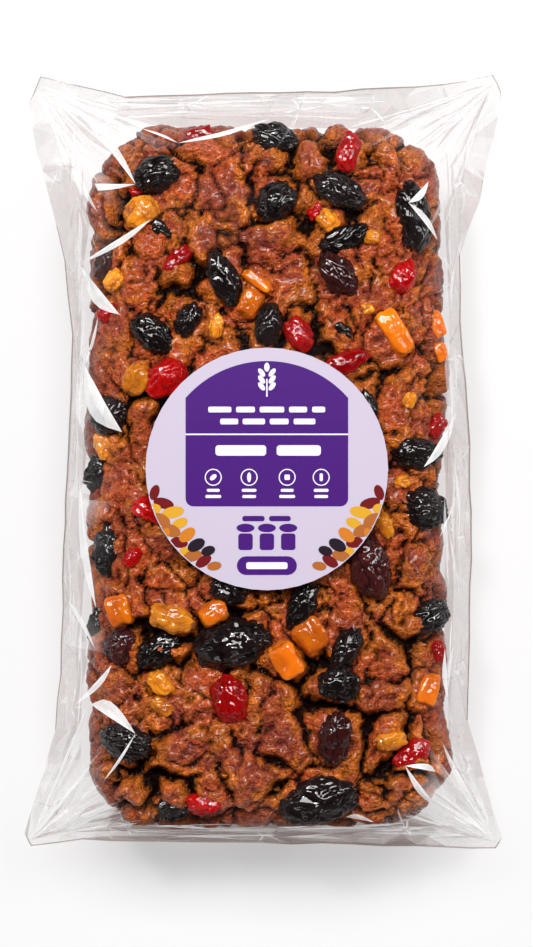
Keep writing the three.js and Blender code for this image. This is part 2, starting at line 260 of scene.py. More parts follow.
def crag_middles(sizes, form):
    """Where the crags' middles are, and how high each crag stands: x, y, z and lift."""
    random = np.random.default_rng(sizes.seed)
    pitch = sizes.crag
    # A low crag under each fruit.
    middles = [(x * MM, y * MM, sizes.height, -0.35) for x, y, *_ in ALL_FRUITS]
    taken = np.array([middle[:2] for middle in middles])
    # An uneven grid over the top, where no fruit is near.
    rows = int(math.ceil(sizes.length / 2 / pitch)) + 1
    columns = int(math.ceil(sizes.width / 2 / pitch)) + 1
    for row in range(-rows, rows + 1):
        for column in range(-columns, columns + 1):
            jitter = (random.random(2) - 0.5) * 0.85 * pitch
            lift = random.random() - 0.5
            x = form.middle[0] + pitch * (column + 0.5 * (row % 2)) + jitter[0]
            y = form.middle[1] + pitch * row + jitter[1]
            if np.hypot(taken[:, 0] - x, taken[:, 1] - y).min() > 7.5 * MM:
                middles.append((x, y, sizes.height, lift))
    # Three uneven rings round the sides.
    around = int((2 * sizes.length + 2 * sizes.width) / (pitch * 1.1))
    for ring in range(3):
        for step in range(around):
            angle = 2 * math.pi * (step + random.random() * 0.7) / around
            way = np.array([math.cos(angle), math.sin(angle)])
            far = form.middle + way * np.array([sizes.width, sizes.length]) * 0.62
            depth, out = form.inside(far[None, :])
            spot = far + out[0] * (depth[0] - 2 * MM)
            height = (0.16 + 0.25 * ring + 0.12 * random.random()) * sizes.height
            middles.append((spot[0], spot[1], height, random.random() - 0.5))
    return np.array(middles)


def nearest_crag(points, middles):
    """The number of each point's crag, and how far the point is from that crag's edge."""
    first = np.full(len(points), 1.0)
    second = np.full(len(points), 1.0)
    owner = np.zeros(len(points), int)
    for i, middle in enumerate(middles):
        away = np.linalg.norm(points - middle[:3], axis=1)
        nearer = away < first
        second = np.where(nearer, first, np.minimum(second, away))
        owner[nearer] = i
        first = np.where(nearer, away, first)
    return owner, (second - first) / 2


def relief(points, sizes, form):
    """The crust at each point: the height of crags and of crumbs, the painted shade of its hollows, and how
    dark and torn it is.
    """
    middles = crag_middles(sizes, form)
    bent = points + 3.2 * MM * drift3(points, 12 * MM, 1) + 1.5 * MM * drift3(points, 4.5 * MM, 5)
    owner, edge = nearest_crag(bent, middles)
    lift = middles[owner, 3]
    # Crevices open between the crags where they stand apart, and fade where they run together.
    apart = smooth(-0.1, 0.65, drift(points, 20 * MM, 9))
    gap = (0.4 + 1.3 * apart + 0.8 * drift(points, 7 * MM, 11)) * MM
    crevice = np.clip(1 - edge / np.maximum(gap, 0.4 * MM), 0, 1) ** 0.7 * (0.1 + 0.9 * apart)
    flank = (1 - smooth(0.2 * MM, 5.0 * MM, edge)) * (0.35 + 0.65 * apart)
    # Knobs and lumps, crumbs and granules, and grit, each finer than the last, then cracks and pits.
    knob = np.abs(drift(bent, 9.5 * MM, 21))
    lump = np.abs(drift(bent + 0.8 * MM * drift3(points, 2.6 * MM, 25), 5.2 * MM, 23))
    crumb = np.abs(drift(points + 0.6 * MM * drift3(points, 1.8 * MM, 31), 2.6 * MM, 41))
    granule, _ = pebbles(points + 0.7 * MM * drift3(points, 2.2 * MM, 35), 2.7 * MM, 43)
    grit = drift(points, 1.35 * MM, 51)
    crack = 1 - smooth(0.0, 0.07, np.abs(drift(bent, 14 * MM, 47)))
    cell, _ = pebbles(bent, 6.5 * MM, 61)
    pit = 1 - smooth(0.12, 0.26, cell)
    # Each crag is domed, stands higher or lower, and leans its own way.
    turn = owner * GOLDEN_ANGLE
    tilt = np.stack([np.cos(turn), np.sin(turn)], axis=1)
    lean = ((bent - middles[owner, :3])[:, :2] * tilt).sum(axis=1)
    rise = np.clip(edge / (7 * MM), 0, 1)
    bulge = 2.6 * MM * lift + 0.12 * lean + 4.4 * MM * rise * (2 - rise) * (0.35 + 0.65 * apart)
    bulge += 1.8 * MM * (np.minimum(knob, 0.55) - 0.25) + 1.3 * MM * (np.minimum(lump, 0.5) - 0.22)
    height = bulge - 1.4 * MM - 4.4 * MM * crevice - 1.2 * MM * crack
    seam = 0.3 * (1 - smooth(0.0, 0.12, knob)) + 0.3 * (1 - smooth(0.0, 0.14, lump))
    seam += 0.3 * (1 - smooth(0.0, 0.16, crumb))
    # Painted shade: crevices, cracks, the seams between knobs, lumps and crumbs, and pits are darkened.
    hollow_shade = np.clip(1.1 * crevice + 0.8 * crack + seam + 0.5 * pit, 0, 1)
    tone = 0.2 + 0.5 * (1 - flank) + 0.5 * lift
    tone = tone + 0.7 * drift(points, 13 * MM, 71) + 0.5 * drift(points, 4 * MM, 73)
    torn = 1.0 * flank - 0.04 + 0.9 * drift(points, 9 * MM, 81) + 0.6 * drift(points, 2.6 * MM, 83)
    torn = smooth(0.1, 0.75, torn)
    crumbs = 1.8 * MM * (np.minimum(crumb, 0.5) - 0.2)
    finer = crumbs * (0.4 + 0.8 * torn) + 1.3 * MM * (0.25 - granule**2) + 0.6 * MM * grit - 0.7 * MM * pit
    return height, finer, hollow_shade, np.clip(tone, 0, 1), torn


# ---------------------------------------------------------------- small helpers on objects and meshes
def clear_selection():
    if bpy.context.object and bpy.context.object.mode != "OBJECT":
        bpy.ops.object.mode_set(mode="OBJECT")
    bpy.ops.object.select_all(action="DESELECT")


def points_of(mesh):
    flat = np.empty(len(mesh.vertices) * 3)
    mesh.vertices.foreach_get("co", flat)
    return flat.reshape(-1, 3)


def put_points(mesh, points):
    mesh.vertices.foreach_set("co", np.ascontiguousarray(points, dtype=np.float32).ravel())
    mesh.update()


def put_attribute(mesh, name, values):
    layer = mesh.attributes.new(name, "FLOAT", "POINT")
    layer.data.foreach_set("value", np.ascontiguousarray(values, dtype=np.float32))


def surface_of(mesh):
    """The mesh as something that rays can hit."""
    return BVHTree.FromPolygons([v.co for v in mesh.vertices], [p.vertices[:] for p in mesh.polygons])


def fall(surface, x, y):
    """Where a ray that falls here meets the surface, and the surface's normal there, or None twice."""
    return surface.ray_cast(Vector((x, y, ABOVE)), DOWN)[:2]


def height_at(surface, x, y, otherwise):
    """The surface's height here, or the other one where there is no surface."""
    place, _ = fall(surface, x, y)
    return otherwise if place is None else place.z


def add_piece(name, points, faces, material):
    """A smooth-shaded piece of this material."""
    mesh = bpy.data.meshes.new(name)
    mesh.from_pydata(np.asarray(points).tolist(), [], np.asarray(faces).tolist())
    mesh.polygons.foreach_set("use_smooth", [True] * len(mesh.polygons))
    mesh.materials.append(material)
    piece = bpy.data.objects.new(name, mesh)
    bpy.context.scene.collection.objects.link(piece)
    return piece


def settle(piece, slot, *replaced):
    """The finished piece rides on the part, and may stand for nodes of the frame."""
    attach(piece, "root")
    if replaced:
        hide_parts(*replaced)


# ---------------------------------------------------------------- materials
def new_material(name):
    """An empty material."""
    material = bpy.data.materials.get(name) or bpy.data.materials.new(name)
    material.use_nodes = True
    material.node_tree.nodes.clear()
    return material


def feed(tree, socket, value):
    """Links the value to the socket if it is a socket too, and else makes it the socket's own."""
    if isinstance(value, bpy.types.NodeSocket):
        tree.links.new(value, socket)
    else:
        socket.default_value = value


def add_node(tree, kind, **inputs):
    """A node of this kind. Inputs are given by name, as a value or as the socket that feeds them."""
    node = tree.nodes.new(kind)
    for name, value in inputs.items():
        feed(tree, node.inputs[name.replace("_", " ")], value)
    return node


def read_attribute(tree, name):
    node = tree.nodes.new("ShaderNodeAttribute")
    node.attribute_name = name
    return node.outputs["Fac"]


def mix_colours(tree, share, first, second):
    node = tree.nodes.new("ShaderNodeMix")
    node.data_type = "RGBA"
    for index, value in ((0, share), (6, first), (7, second)):
        feed(tree, node.inputs[index], value)
    return node.outputs[2]


def mix_shaders(tree, share, first, second):
    node = tree.nodes.new("ShaderNodeMixShader")
    for socket, value in zip(node.inputs, (share, first.outputs[0], second.outputs[0])):
        feed(tree, socket, value)
    return node


def calculate(tree, operation, first, second):
    node = tree.nodes.new("ShaderNodeMath")
    node.operation = operation
    for socket, value in zip(node.inputs, (first, second)):
        feed(tree, socket, value)
    return node.outputs[0]


def spread(tree, value, low, high, start, end):
    """A value that goes smoothly from start to end while the given one goes from low to high."""
    node = add_node(
        tree, "ShaderNodeMapRange", Value=value, From_Min=low, From_Max=high, To_Min=start, To_Max=end
    )
    node.interpolation_type = "SMOOTHSTEP"
    return node.outputs[0]


def opaque(colour, strength=1.0):
    """The colour made this many times as bright, with full alpha."""
    return (*[channel * strength for channel in colour], 1.0)


def grain_group():
    """Sugary grain: a mask and a height from two sizes of noise on the object's own coordinates."""
    group = bpy.data.node_groups.get("grain")
    if group:
        return group
    group = bpy.data.node_groups.new("grain", "ShaderNodeTree")
    for name, way in (("Scale", "INPUT"), ("Contrast", "INPUT"), ("Mask", "OUTPUT"), ("Height", "OUTPUT")):
        group.interface.new_socket(name, in_out=way, socket_type="NodeSocketFloat")
    scale, contrast = group.nodes.new("NodeGroupInput").outputs[:2]
    place = group.nodes.new("ShaderNodeTexCoord").outputs["Object"]
    noise = add_node(group, "ShaderNodeTexNoise", Vector=place, Scale=scale, Detail=3.0).outputs[0]
    large = add_node(group, "ShaderNodeTexVoronoi", Vector=place, Scale=scale).outputs["Distance"]
    finer = calculate(group, "MULTIPLY", scale, 2.3)
    small = add_node(group, "ShaderNodeTexVoronoi", Vector=place, Scale=finer).outputs["Distance"]
    low = calculate(group, "SUBTRACT", 0.5, contrast)
    high = calculate(group, "ADD", 0.5, contrast)
    mask = add_node(group, "ShaderNodeMapRange", Value=noise, From_Min=low, From_Max=high).outputs[0]
    grains = calculate(group, "ADD", large, calculate(group, "MULTIPLY", small, 0.35))
    height = calculate(group, "SUBTRACT", calculate(group, "MULTIPLY", noise, 0.8), grains)
    add_node(group, "NodeGroupOutput", Mask=mask, Height=height)
    return group


def grain(tree, scale, contrast):
    """The mask and the height of sugary grain of this scale."""
    node = tree.nodes.new("ShaderNodeGroup")
    node.node_tree = grain_group()
    node.inputs["Scale"].default_value = scale
    node.inputs["Contrast"].default_value = contrast
    return node.outputs["Mask"], node.outputs["Height"]


def finish_material(material, **inputs):
    """Gives the material its surface, a principled shader that has these inputs."""
    tree = material.node_tree
    shader = add_node(tree, "ShaderNodeBsdfPrincipled", **inputs)
    add_node(tree, "ShaderNodeOutputMaterial", Surface=shader.outputs[0])
    return material


def crust_material(colours):
    """Baked crust and torn crumb, with painted shade in the hollows, and shiny outside them."""
    material = new_material("baked_crust")
    tree = material.node_tree
    hollow_shade, tone, torn, side = [read_attribute(tree, name) for name in ("hollow_shade", "tone", "torn", "side")]
    patch, _ = grain(tree, 240, 0.2)
    speck, height = grain(tree, 620, 0.16)
    dots, pores = grain(tree, 1500, 0.12)
    baked = mix_colours(tree, tone, opaque(colours.crust, 1.85), opaque(colours.baked, 1.95))
    baked = mix_colours(tree, calculate(tree, "MULTIPLY", patch, 0.5), baked, opaque(colours.crust, 1.3))
    crumb = mix_colours(tree, patch, opaque(colours.crumb, 0.7), opaque(colours.crumb, 1.3))
    colour = mix_colours(tree, torn, baked, crumb)
    for mask, strength, shade in ((dots, 0.45, 0.4), (speck, 0.3, 0.7), (side, 0.55, 1.0)):
        share = calculate(tree, "MULTIPLY", mask, strength)
        colour = mix_colours(tree, share, colour, opaque(colours.baked, shade))
    # Painted shade: the hollows are mixed toward the crevice colour.
    colour = mix_colours(tree, hollow_shade, colour, opaque(colours.crevice))
    both = calculate(tree, "ADD", height, calculate(tree, "MULTIPLY", pores, 0.45))
    bump = add_node(tree, "ShaderNodeBump", Height=both, Strength=1.0, Distance=1.0 * MM)
    return finish_material(
        material, Base_Color=colour, Roughness=spread(tree, speck, 0.0, 1.0, 0.1, 0.24),
        Normal=bump.outputs[0], Specular_IOR_Level=0.22, Specular_Tint=(1.0, 0.85, 0.75, 1.0),
        Coat_Weight=spread(tree, hollow_shade, 0.0, 0.5, 0.5, 0.0), Coat_Roughness=0.19,
    )


def fruit_material(name, colour, dark, rough, glow, veins, grainy):
    """A sticky dried fruit: painted shade in its furrows, glossy, and a little clear where glow is high."""
    material = new_material(name)
    tree = material.node_tree
    speck, height = grain(tree, 750, 0.22)
    patch, _ = grain(tree, 190, 0.2)
    base = mix_colours(tree, read_attribute(tree, "variety"), opaque(colour, 0.62), opaque(colour, 1.3))
    base = mix_colours(tree, calculate(tree, "MULTIPLY", patch, veins), base, opaque(dark, 1.6))
    # Painted shade: the furrows and dents are mixed toward the dark colour, which also tints the veins.
    base = mix_colours(tree, read_attribute(tree, "furrow_shade"), base, opaque(dark))
    bump = add_node(tree, "ShaderNodeBump", Height=height, Strength=grainy, Distance=0.35 * MM)
    return finish_material(
        material, Base_Color=base, Roughness=spread(tree, speck, 0.0, 1.0, rough, rough + 0.14),
        Normal=bump.outputs[0], Specular_IOR_Level=0.0, Coat_Weight=0.9, Coat_Roughness=0.07,
        Subsurface_Weight=glow, Subsurface_Radius=(1.0, 0.4, 0.15), Subsurface_Scale=3 * MM,
    )


def film_material(colours):
    """Clear glossy film: it lets through most light, shines by Fresnel, and is misted along its creases,
    with painted glints that glow white where folds would catch the light.
    """
    material = new_material("clear_film")
    tree = material.node_tree
    haze, dense, taut = [read_attribute(tree, name) for name in ("haze", "dense", "taut")]
    # Where density and shade are high the film takes a dark tint: the weld's own grey, and painted shade on
    # facets, creases, folds and the hem.
    tint = mix_colours(tree, dense, opaque(colours.film), opaque((0.62, 0.56, 0.54)))
    clear = add_node(tree, "ShaderNodeBsdfTransparent", Color=tint)
    shine = add_node(tree, "ShaderNodeBsdfGlossy", Color=WHITE, Roughness=0.08)
    # It shines least where it lies taut on the loaf.
    fresnel = calculate(tree, "MINIMUM", add_node(tree, "ShaderNodeFresnel", IOR=1.42).outputs[0], 0.3)
    share = calculate(tree, "MULTIPLY", fresnel, spread(tree, taut, 0.0, 1.0, 1.0, 0.01))
    film = mix_shaders(tree, share, clear, shine)
    # Painted glint: a white that glows a little, laid where folds would catch the light.
    white = add_node(
        tree, "ShaderNodeBsdfPrincipled", Base_Color=opaque((0.8, 0.8, 0.8)), Roughness=0.25,
        Emission_Color=WHITE, Emission_Strength=0.16,
    )
    hazy_and_glinting = mix_shaders(tree, haze, film, white)
    # Its shadow is faint and even.
    passing = add_node(tree, "ShaderNodeBsdfTransparent", Color=opaque((0.97, 0.96, 0.96)))
    shadow = tree.nodes.new("ShaderNodeLightPath").outputs["Is Shadow Ray"]
    shaded = mix_shaders(tree, shadow, hazy_and_glinting, passing)
    add_node(tree, "ShaderNodeOutputMaterial", Surface=shaded.outputs[0])
    return material


def paper_material(name, colour, rough=0.5):
    """Matt paper or print with a faint grain."""
    material = new_material(name)
    tree = material.node_tree
    speck, height = grain(tree, 1400, 0.3)
    shade = mix_colours(tree, calculate(tree, "MULTIPLY", speck, 0.06), opaque(colour), opaque(colour, 0.8))
    bump = add_node(tree, "ShaderNodeBump", Height=height, Strength=0.05, Distance=0.05 * MM)
    return finish_material(
        material, Base_Color=shade, Roughness=rough, Normal=bump.outputs[0], Specular_IOR_Level=0.05
    )


# ---------------------------------------------------------------- the loaf
class LOAF_OT_bread(bpy.types.Operator):
    """Bake the loaf: a tin-shaped body with a craggy crust"""

    bl_idname = "fruit_loaf.bread"
    bl_label = "Bread"

    def execute(self, context):
        sizes = context.scene.fruit_loaf_sizes
        rings = 34
        clear_selection()
        bpy.ops.mesh.primitive_grid_add(x_subdivisions=165, y_subdivisions=325, size=2)
        loaf = context.object
        loaf.name = "loaf"
        bpy.ops.object.mode_set(mode="EDIT")
        bpy.ops.mesh.select_all(action="SELECT")
        bpy.ops.mesh.region_to_loop()
        for _ in range(rings):
            bpy.ops.mesh.extrude_edges_move(TRANSFORM_OT_translate={"value": (0, 0, -1)})
        bpy.ops.mesh.edge_face_add()
        bpy.ops.mesh.select_all(action="SELECT")
        bpy.ops.mesh.normals_make_consistent(inside=False)
        bpy.ops.object.mode_set(mode="OBJECT")
        points, normal, attributes = self.shape(points_of(loaf.data), rings, sizes)
        put_points(loaf.data, points)
        # What lies below its surroundings gets painted shade, and what stands above them is torn.
        wide = self.cavity(loaf.data, points, normal, 60)
        near = self.cavity(loaf.data, points, normal, 8)
        sunk_shade = 1.0 * smooth(0.35 * MM, 2.2 * MM, wide) + 0.4 * smooth(0.08 * MM, 0.6 * MM, near)
        attributes["hollow_shade"] = np.clip(0.5 * attributes["hollow_shade"] + sunk_shade, 0, 1)
        attributes["torn"] = np.clip(attributes["torn"] + 0.3 * smooth(0.1 * MM, 0.6 * MM, -near), 0, 1)
        for name, values in attributes.items():
            put_attribute(loaf.data, name, values)
        loaf.data.polygons.foreach_set("use_smooth", [True] * len(loaf.data.polygons))
        loaf.data.materials.append(crust_material(context.scene.fruit_loaf_colours))
        settle(loaf, "crust", "film_bag")
        return {"FINISHED"}

    def shape(self, raw, rings, sizes):
        """The loaf's points from those of the grid and its skirt, with their normals and attributes."""
        form = LoafForm(sizes)
        shoulder = sizes.shoulder
        quarter = math.pi / 2
        # The grid is larger than the plan by what the rounded edge takes up.
        extra = shoulder * (quarter - 1)
        half_length = sizes.length / 2 + extra
        y = form.middle[1] + raw[:, 1] * half_length
        x = form.middle[0] + raw[:, 0] * (form.half_width(y) + extra)
        plan = self.round_corners(np.stack([x, y], axis=1), form, extra)
        depth, out = form.inside(plan, extra)
        bend = np.clip((shoulder * quarter - depth) / shoulder, 0, quarter)
        move = np.where(depth < shoulder * quarter, depth - extra - shoulder * (1 - np.sin(bend)), 0)
        plan = plan + out * move[:, None]
        across = (plan[:, 0] - form.middle[0]) / form.half_width(plan[:, 1])
        along = (plan[:, 1] - form.middle[1]) / (sizes.length / 2)
        top = sizes.height - 4 * MM * across**2 - 3 * MM * along**4
        level = top - shoulder * (1 - np.cos(bend))
        # The skirt becomes the sides: down goes from 0 at the rim to 1 at the base.
        down = np.clip(-raw[:, 2] / rings, 0, 1)
        side = down > 0
        plan = plan - out * (sizes.taper * down + 4 * MM * smooth(0.9, 1.0, down) ** 2)[:, None]
        level = np.where(side, level * (1 - down), level)
        lean = np.where(side, quarter, bend)
        normal = np.stack([out[:, 0] * np.sin(lean), out[:, 1] * np.sin(lean), np.cos(lean)], axis=1)
        points = np.column_stack([plan, level])
        height, finer, hollow_shade, tone, torn = relief(points, sizes, form)
        # The crust is rough on top, smoother on the sides that the tin shaped, and flat at the base.
        steep = lean / quarter
        strength = (1 - 0.45 * smooth(0.35, 1.0, steep)) * (1 - 0.35 * smooth(0.0, 0.35, down))
        strength *= 1 - smooth(0.9, 1.0, down)
        height = height + finer * (1 - 0.6 * smooth(0.4, 1.0, steep))
        points = points + normal * (height * strength)[:, None]
        points[:, 2] = np.minimum(points[:, 2], label_ceiling(points))
        points[:, 2] = np.maximum(points[:, 2], 0.15 * MM)
        attributes = {
            "hollow_shade": hollow_shade * (1 - 0.4 * down),
            "tone": tone,
            "torn": torn * (1 - 0.7 * down),
            "side": smooth(0.3, 1.0, steep),
        }
        return points, normal, attributes

    def cavity(self, mesh, points, normal, rounds):
        """How far each point lies below its surroundings, which are wider the more rounds of smoothing."""
        ends = np.empty(len(mesh.edges) * 2, int)
        mesh.edges.foreach_get("vertices", ends)
        first, second = ends.reshape(-1, 2).T
        count = np.bincount(ends, minlength=len(points))
        around = points
        for _ in range(rounds):
            sums = [
                np.bincount(first, around[second, axis], len(points))
                + np.bincount(second, around[first, axis], len(points))
                for axis in range(3)
            ]
            around = np.stack(sums, axis=1) / count[:, None]
        return ((around - points) * normal).sum(axis=1)

    def round_corners(self, plan, form, grow):
        """Moves the grid's square corners into the loaf's round ones."""
        radius = form.sizes.corner + grow
        offset = plan - form.middle
        half_width = form.half_width(plan[:, 1]) + grow
        half = np.stack([half_width, np.full(len(plan), form.sizes.length / 2 + grow)], axis=1)
        share = (np.abs(offset) - (half - radius)) / radius
        in_corner = (share > 0).all(axis=1)
        square = np.clip(share, 0, 1)
        bent = square * np.sqrt(1 - square[:, ::-1] ** 2 / 2)
        moved = (half - radius + bent * radius) * np.sign(offset)
        return np.where(in_corner[:, None], moved, offset) + form.middle


# ---------------------------------------------------------------- the fruits
def ball_template():
    """Points and faces of a fine ball whose radius is 1."""
    clear_selection()
    bpy.ops.mesh.primitive_ico_sphere_add(subdivisions=5, radius=1)
    ball = bpy.context.object
    points = points_of(ball.data)
    faces = np.array([face.vertices[:] for face in ball.data.polygons])
    mesh = ball.data
    bpy.data.objects.remove(ball)
    bpy.data.meshes.remove(mesh)
    return points, faces


def wrinkled(ball, half, salt, deep, stretch):
    """How far a shrivelled fruit reaches at each point of a ball, and the painted shade of its furrows,
    which run along it.
    """
    place = ball * half * np.array([stretch, 1.0, 1.0]) + 170 * salt
    place = place + 1.3 * drift3(place, 3.2, 91 + salt)
    fold = np.abs(drift(place, 3.1, 95 + salt))
    fine = np.abs(drift(place, 1.4, 97 + salt))
    sag = drift(ball + 17.3 * salt, 0.9, 99 + salt)
    ridges = 2.0 * np.minimum(fold, 0.6) + 1.1 * np.minimum(fine, 0.6) - 0.85
    furrow_shade = np.maximum(1 - smooth(0.0, 0.16, fold), 0.5 * (1 - smooth(0.0, 0.14, fine)))
    return 1 + deep / half.mean() * ridges + 0.09 * sag, furrow_shade


def cubed(ball, half, salt, power):
    """The points that make a ball a soft candied cube, and the painted shade of its dents."""
    block = ball / (np.abs(ball) ** power).sum(axis=1)[:, None] ** (1 / power)
    dent = drift(ball + 11.7 * salt, 0.9, 101 + salt)
    fine = drift(ball * half + 170 * salt, 1.3, 103 + salt)
    reach = 0.9 + 0.15 * dent + 0.2 / half.mean() * fine
    return block * reach[:, None], np.clip(0.25 - 0.5 * dent, 0, 0.5)


def lay_fruits(name, rows, shaper, flatness, bury, material, slot):
    """One piece for a kind of fruit: each is shaped, turned, and pressed into the crust below it."""
    surface = surface_of(bpy.data.objects["loaf"].data)
    ball, ball_faces = ball_template()
    points, faces, furrow_shades, varieties = [], [], [], []
    for i, (x, y, length, width, turn) in enumerate(rows):
        half = np.array([length, width, width * flatness]) / 2
        shape, furrow_shade = shaper(ball, half, i)
        middle, up = resting_place(surface, x * MM, y * MM, width * MM / 2)
        along = Vector((math.cos(math.radians(turn)), math.sin(math.radians(turn)), 0))
        along = (along - up * along.dot(up)).normalized()
        axes = np.array([along, up.cross(along), up])
        centre = np.array(middle) + np.array(up) * width * flatness * MM * (0.5 - bury)
        placed = (shape * half * MM) @ axes + centre
        placed[:, 2] = np.minimum(placed[:, 2], label_ceiling(placed))
        faces.append(ball_faces + len(ball) * i)
        points.append(placed)
        furrow_shades.append(furrow_shade)
        varieties.append(np.full(len(ball), (i * GOLDEN_SHARE) % 1))
    piece = add_piece(name, np.concatenate(points), np.concatenate(faces), material)
    put_attribute(piece.data, "furrow_shade", np.concatenate(furrow_shades))
    put_attribute(piece.data, "variety", np.concatenate(varieties))
    settle(piece, slot, "film_bag")


def resting_place(surface, x, y, reach):
    """The mean place and the mean upward direction of the crust round a point seen from above."""
    rays = 13
    found = []
    for step in range(rays):
        angle = GOLDEN_ANGLE * step
        radius = reach * math.sqrt(step / (rays - 1))
        place, normal = fall(surface, x + radius * math.cos(angle), y + radius * math.sin(angle))
        if place is not None:
            found.append((place, normal))
    if not found:
        raise RuntimeError(f"no crust under the fruit at {x:.3f}, {y:.3f}")
    height = sum(place.z for place, _ in found) / len(found)
    # Steep ground turns a fruit only part of the way.
    up = sum((normal for _, normal in found), Vector((0, 0, 1.5 * len(found)))).normalized()
    return Vector((x, y, height)), up


class LOAF_OT_raisins(bpy.types.Operator):
    """Press the dark and the red-brown raisins into the crust"""

    bl_idname = "fruit_loaf.raisins"
    bl_label = "Raisins"

    def execute(self, context):
        colours = context.scene.fruit_loaf_colours
        black = (0.003, 0.002, 0.002)
        wine = (0.012, 0.003, 0.003)
        dark = fruit_material("dark_raisin", colours.raisin, black, 0.22, 0.0, 0.3, 0.14)
        red = fruit_material("red_raisin", colours.red_raisin, wine, 0.24, 0.05, 0.5, 0.16)

        def raisin(ball, half, i):
            reach, furrow_shade = wrinkled(ball, half, i, 0.8, 0.55)
            return ball * reach[:, None], furrow_shade

        lay_fruits("dark_raisins", DARK_RAISINS, raisin, 0.7, 0.36, dark, "dark_raisin")
        lay_fruits("red_raisins", RED_RAISINS, raisin, 0.7, 0.36, red, "dark_raisin")
        return {"FINISHED"}


class LOAF_OT_cherries(bpy.types.Operator):
    """Press the candied cherries into the crust"""

    bl_idname = "fruit_loaf.cherries"
    bl_label = "Cherries"

    def execute(self, context):
        colours = context.scene.fruit_loaf_colours
        deep_red = (0.10, 0.002, 0.002)
        material = fruit_material("red_cherry", colours.cherry, deep_red, 0.16, 0.45, 0.25, 0.25)

        def cherry(ball, half, i):
            block, _ = cubed(ball, half, 40 + i, 2.4)
            reach, furrow_shade = wrinkled(ball, half, 40 + i, 0.42, 0.9)
            return block * reach[:, None], 0.6 * furrow_shade

        lay_fruits("cherries", CHERRIES, cherry, 0.75, 0.36, material, "red_fruit")
        return {"FINISHED"}


class LOAF_OT_candied(bpy.types.Operator):
    """Press the orange cubes and the golden raisins into the crust"""

    bl_idname = "fruit_loaf.candied"
    bl_label = "Candied Fruits"

    def execute(self, context):
        colours = context.scene.fruit_loaf_colours
        rust = (0.35, 0.05, 0.008)
        amber = (0.36, 0.08, 0.010)
        orange = fruit_material("orange_cube", colours.orange, rust, 0.2, 0.4, 0.45, 0.4)
        golden = fruit_material("golden_raisin", colours.golden, amber, 0.26, 0.3, 0.4, 0.4)

        def cube(ball, half, i):
            return cubed(ball, half, i, 4.5)

        def soft(ball, half, i):
            block, dent_shade = cubed(ball, half, 60 + i, 2.8)
            reach, furrow_shade = wrinkled(ball, half, 60 + i, 0.4, 0.8)
            return block * reach[:, None], np.clip(dent_shade + 0.6 * furrow_shade, 0, 1)

        lay_fruits("orange_cubes", ORANGE_CUBES, cube, 0.75, 0.34, orange, "orange_fruit")
        lay_fruits("golden_raisins", GOLDEN_FRUITS, soft, 0.75, 0.3, golden, "golden_fruit")
        return {"FINISHED"}


# ---------------------------------------------------------------- the film bag
# The tips of the bag's ears, and knots where many creases meet, in millimetres.
EARS = [(-64.5, 107), (65, 107), (66, -107.5), (-66, -107)]
KNOTS = [
    (-52.5, 55), (-36, 78.5), (-52, 27), (-52.5, -5), (-54.5, -41), (-53.5, -69), (-35.5, -75.5),
    (-58, -97), (-41, 97.5), (-57, 83), (56, 78), (40.5, 72), (53.5, 51), (54.5, 30), (55, 0), (54, -21),
    (55, -60), (39.5, -84.5), (57, -88), (40, -103), (10, 98.5), (-22, 100), (30, 99), (-38, -103),
    (0, -105),
]
# Folds painted with white glints: three corners each, in millimetres, the first two along the crease.
FOLDS = [
    ((-51.3, 55.2), (-31.1, 67.2), (-39, 60.5)), ((-51, 54.6), (-39.8, 40.8), (-47, 44)),
    ((-35.4, 77), (-44.7, 89.5), (-41, 88)), ((-35.4, 77), (-47, 77.5), (-46, 75.5)),
    ((-23.7, 88.6), (1.9, 95.3), (-12, 90.3)), ((-23.7, 88.6), (-34, 93), (-28, 91.2)),
    ((-50, 27), (-39.1, 8.2), (-48, 13)), ((-50, 27), (-46, 40.4), (-47, 34)),
    ((-51.4, -5.9), (-46.5, -40.7), (-51, -26)), ((-54.8, -39.5), (-46.8, -52), (-51.5, -42)),
    ((-52.6, -67.9), (-42.1, -56.4), (-45, -62)), ((-35.4, -75.3), (-48, -67.5), (-43, -66)),
    ((-35.4, -75.3), (-44.4, -88.7), (-39.6, -83)), ((40.2, 71.8), (46, 78), (44, 73)),
    ((40.2, 71.8), (48.5, 61.7), (45.5, 68)), ((44.5, -1.5), (54.4, 14.6), (50, 3)),
    ((54.4, -8.3), (48.8, -21.3), (51, -17)), ((50.5, -52), (51.5, -65.8), (49.8, -60)),
    ((39.4, -84.4), (47.9, -86.2), (46, -84)), ((39.4, -84.4), (48.8, -96.7), (43, -92)),
]
# How many streaks each ear, each side and each hem has; most get a painted white glint.
EAR_STREAKS, SIDE_STREAKS, HEM_STREAKS = 32, 34, 30
# What lies inside the bag.
CONTENTS = ("loaf", "dark_raisins", "red_raisins", "cherries", "orange_cubes", "golden_raisins")
# How far the frame's bag stands over its seam at its edge.
EDGE_HALF = 0.6 * MM
# The inner line of the weld, and how far in from the edge the film has the weld's look.
WELD_LINE = 0.45 * MM
WELD = 0.6 * MM
# How far the film stays clear of what is inside it.
CLEARANCE = 0.3 * MM
# How much of the loaf's rim is still covered by loose film.
LOOSE = 7 * MM
# A mesh of triangles: its misting and painted glint at each corner, and for each face if it is even or calm,
# and its density and painted shade.
Facets = namedtuple("Facets", "points faces haze even calm dense")


def seam_ring(seam_height):
    """The bag's edge, read from the frame: the widest ring of the filled bag, in order round the loaf."""
    points = points_of(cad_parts["film_bag"].data)
    level = np.abs(points[:, 2] - seam_height - EDGE_HALF) < 0.02 * MM
    ring = np.unique(np.round(points[level][:, :2], 5), axis=0)
    angle = np.arctan2(ring[:, 1], ring[:, 0])
    return ring[np.argsort(angle)]


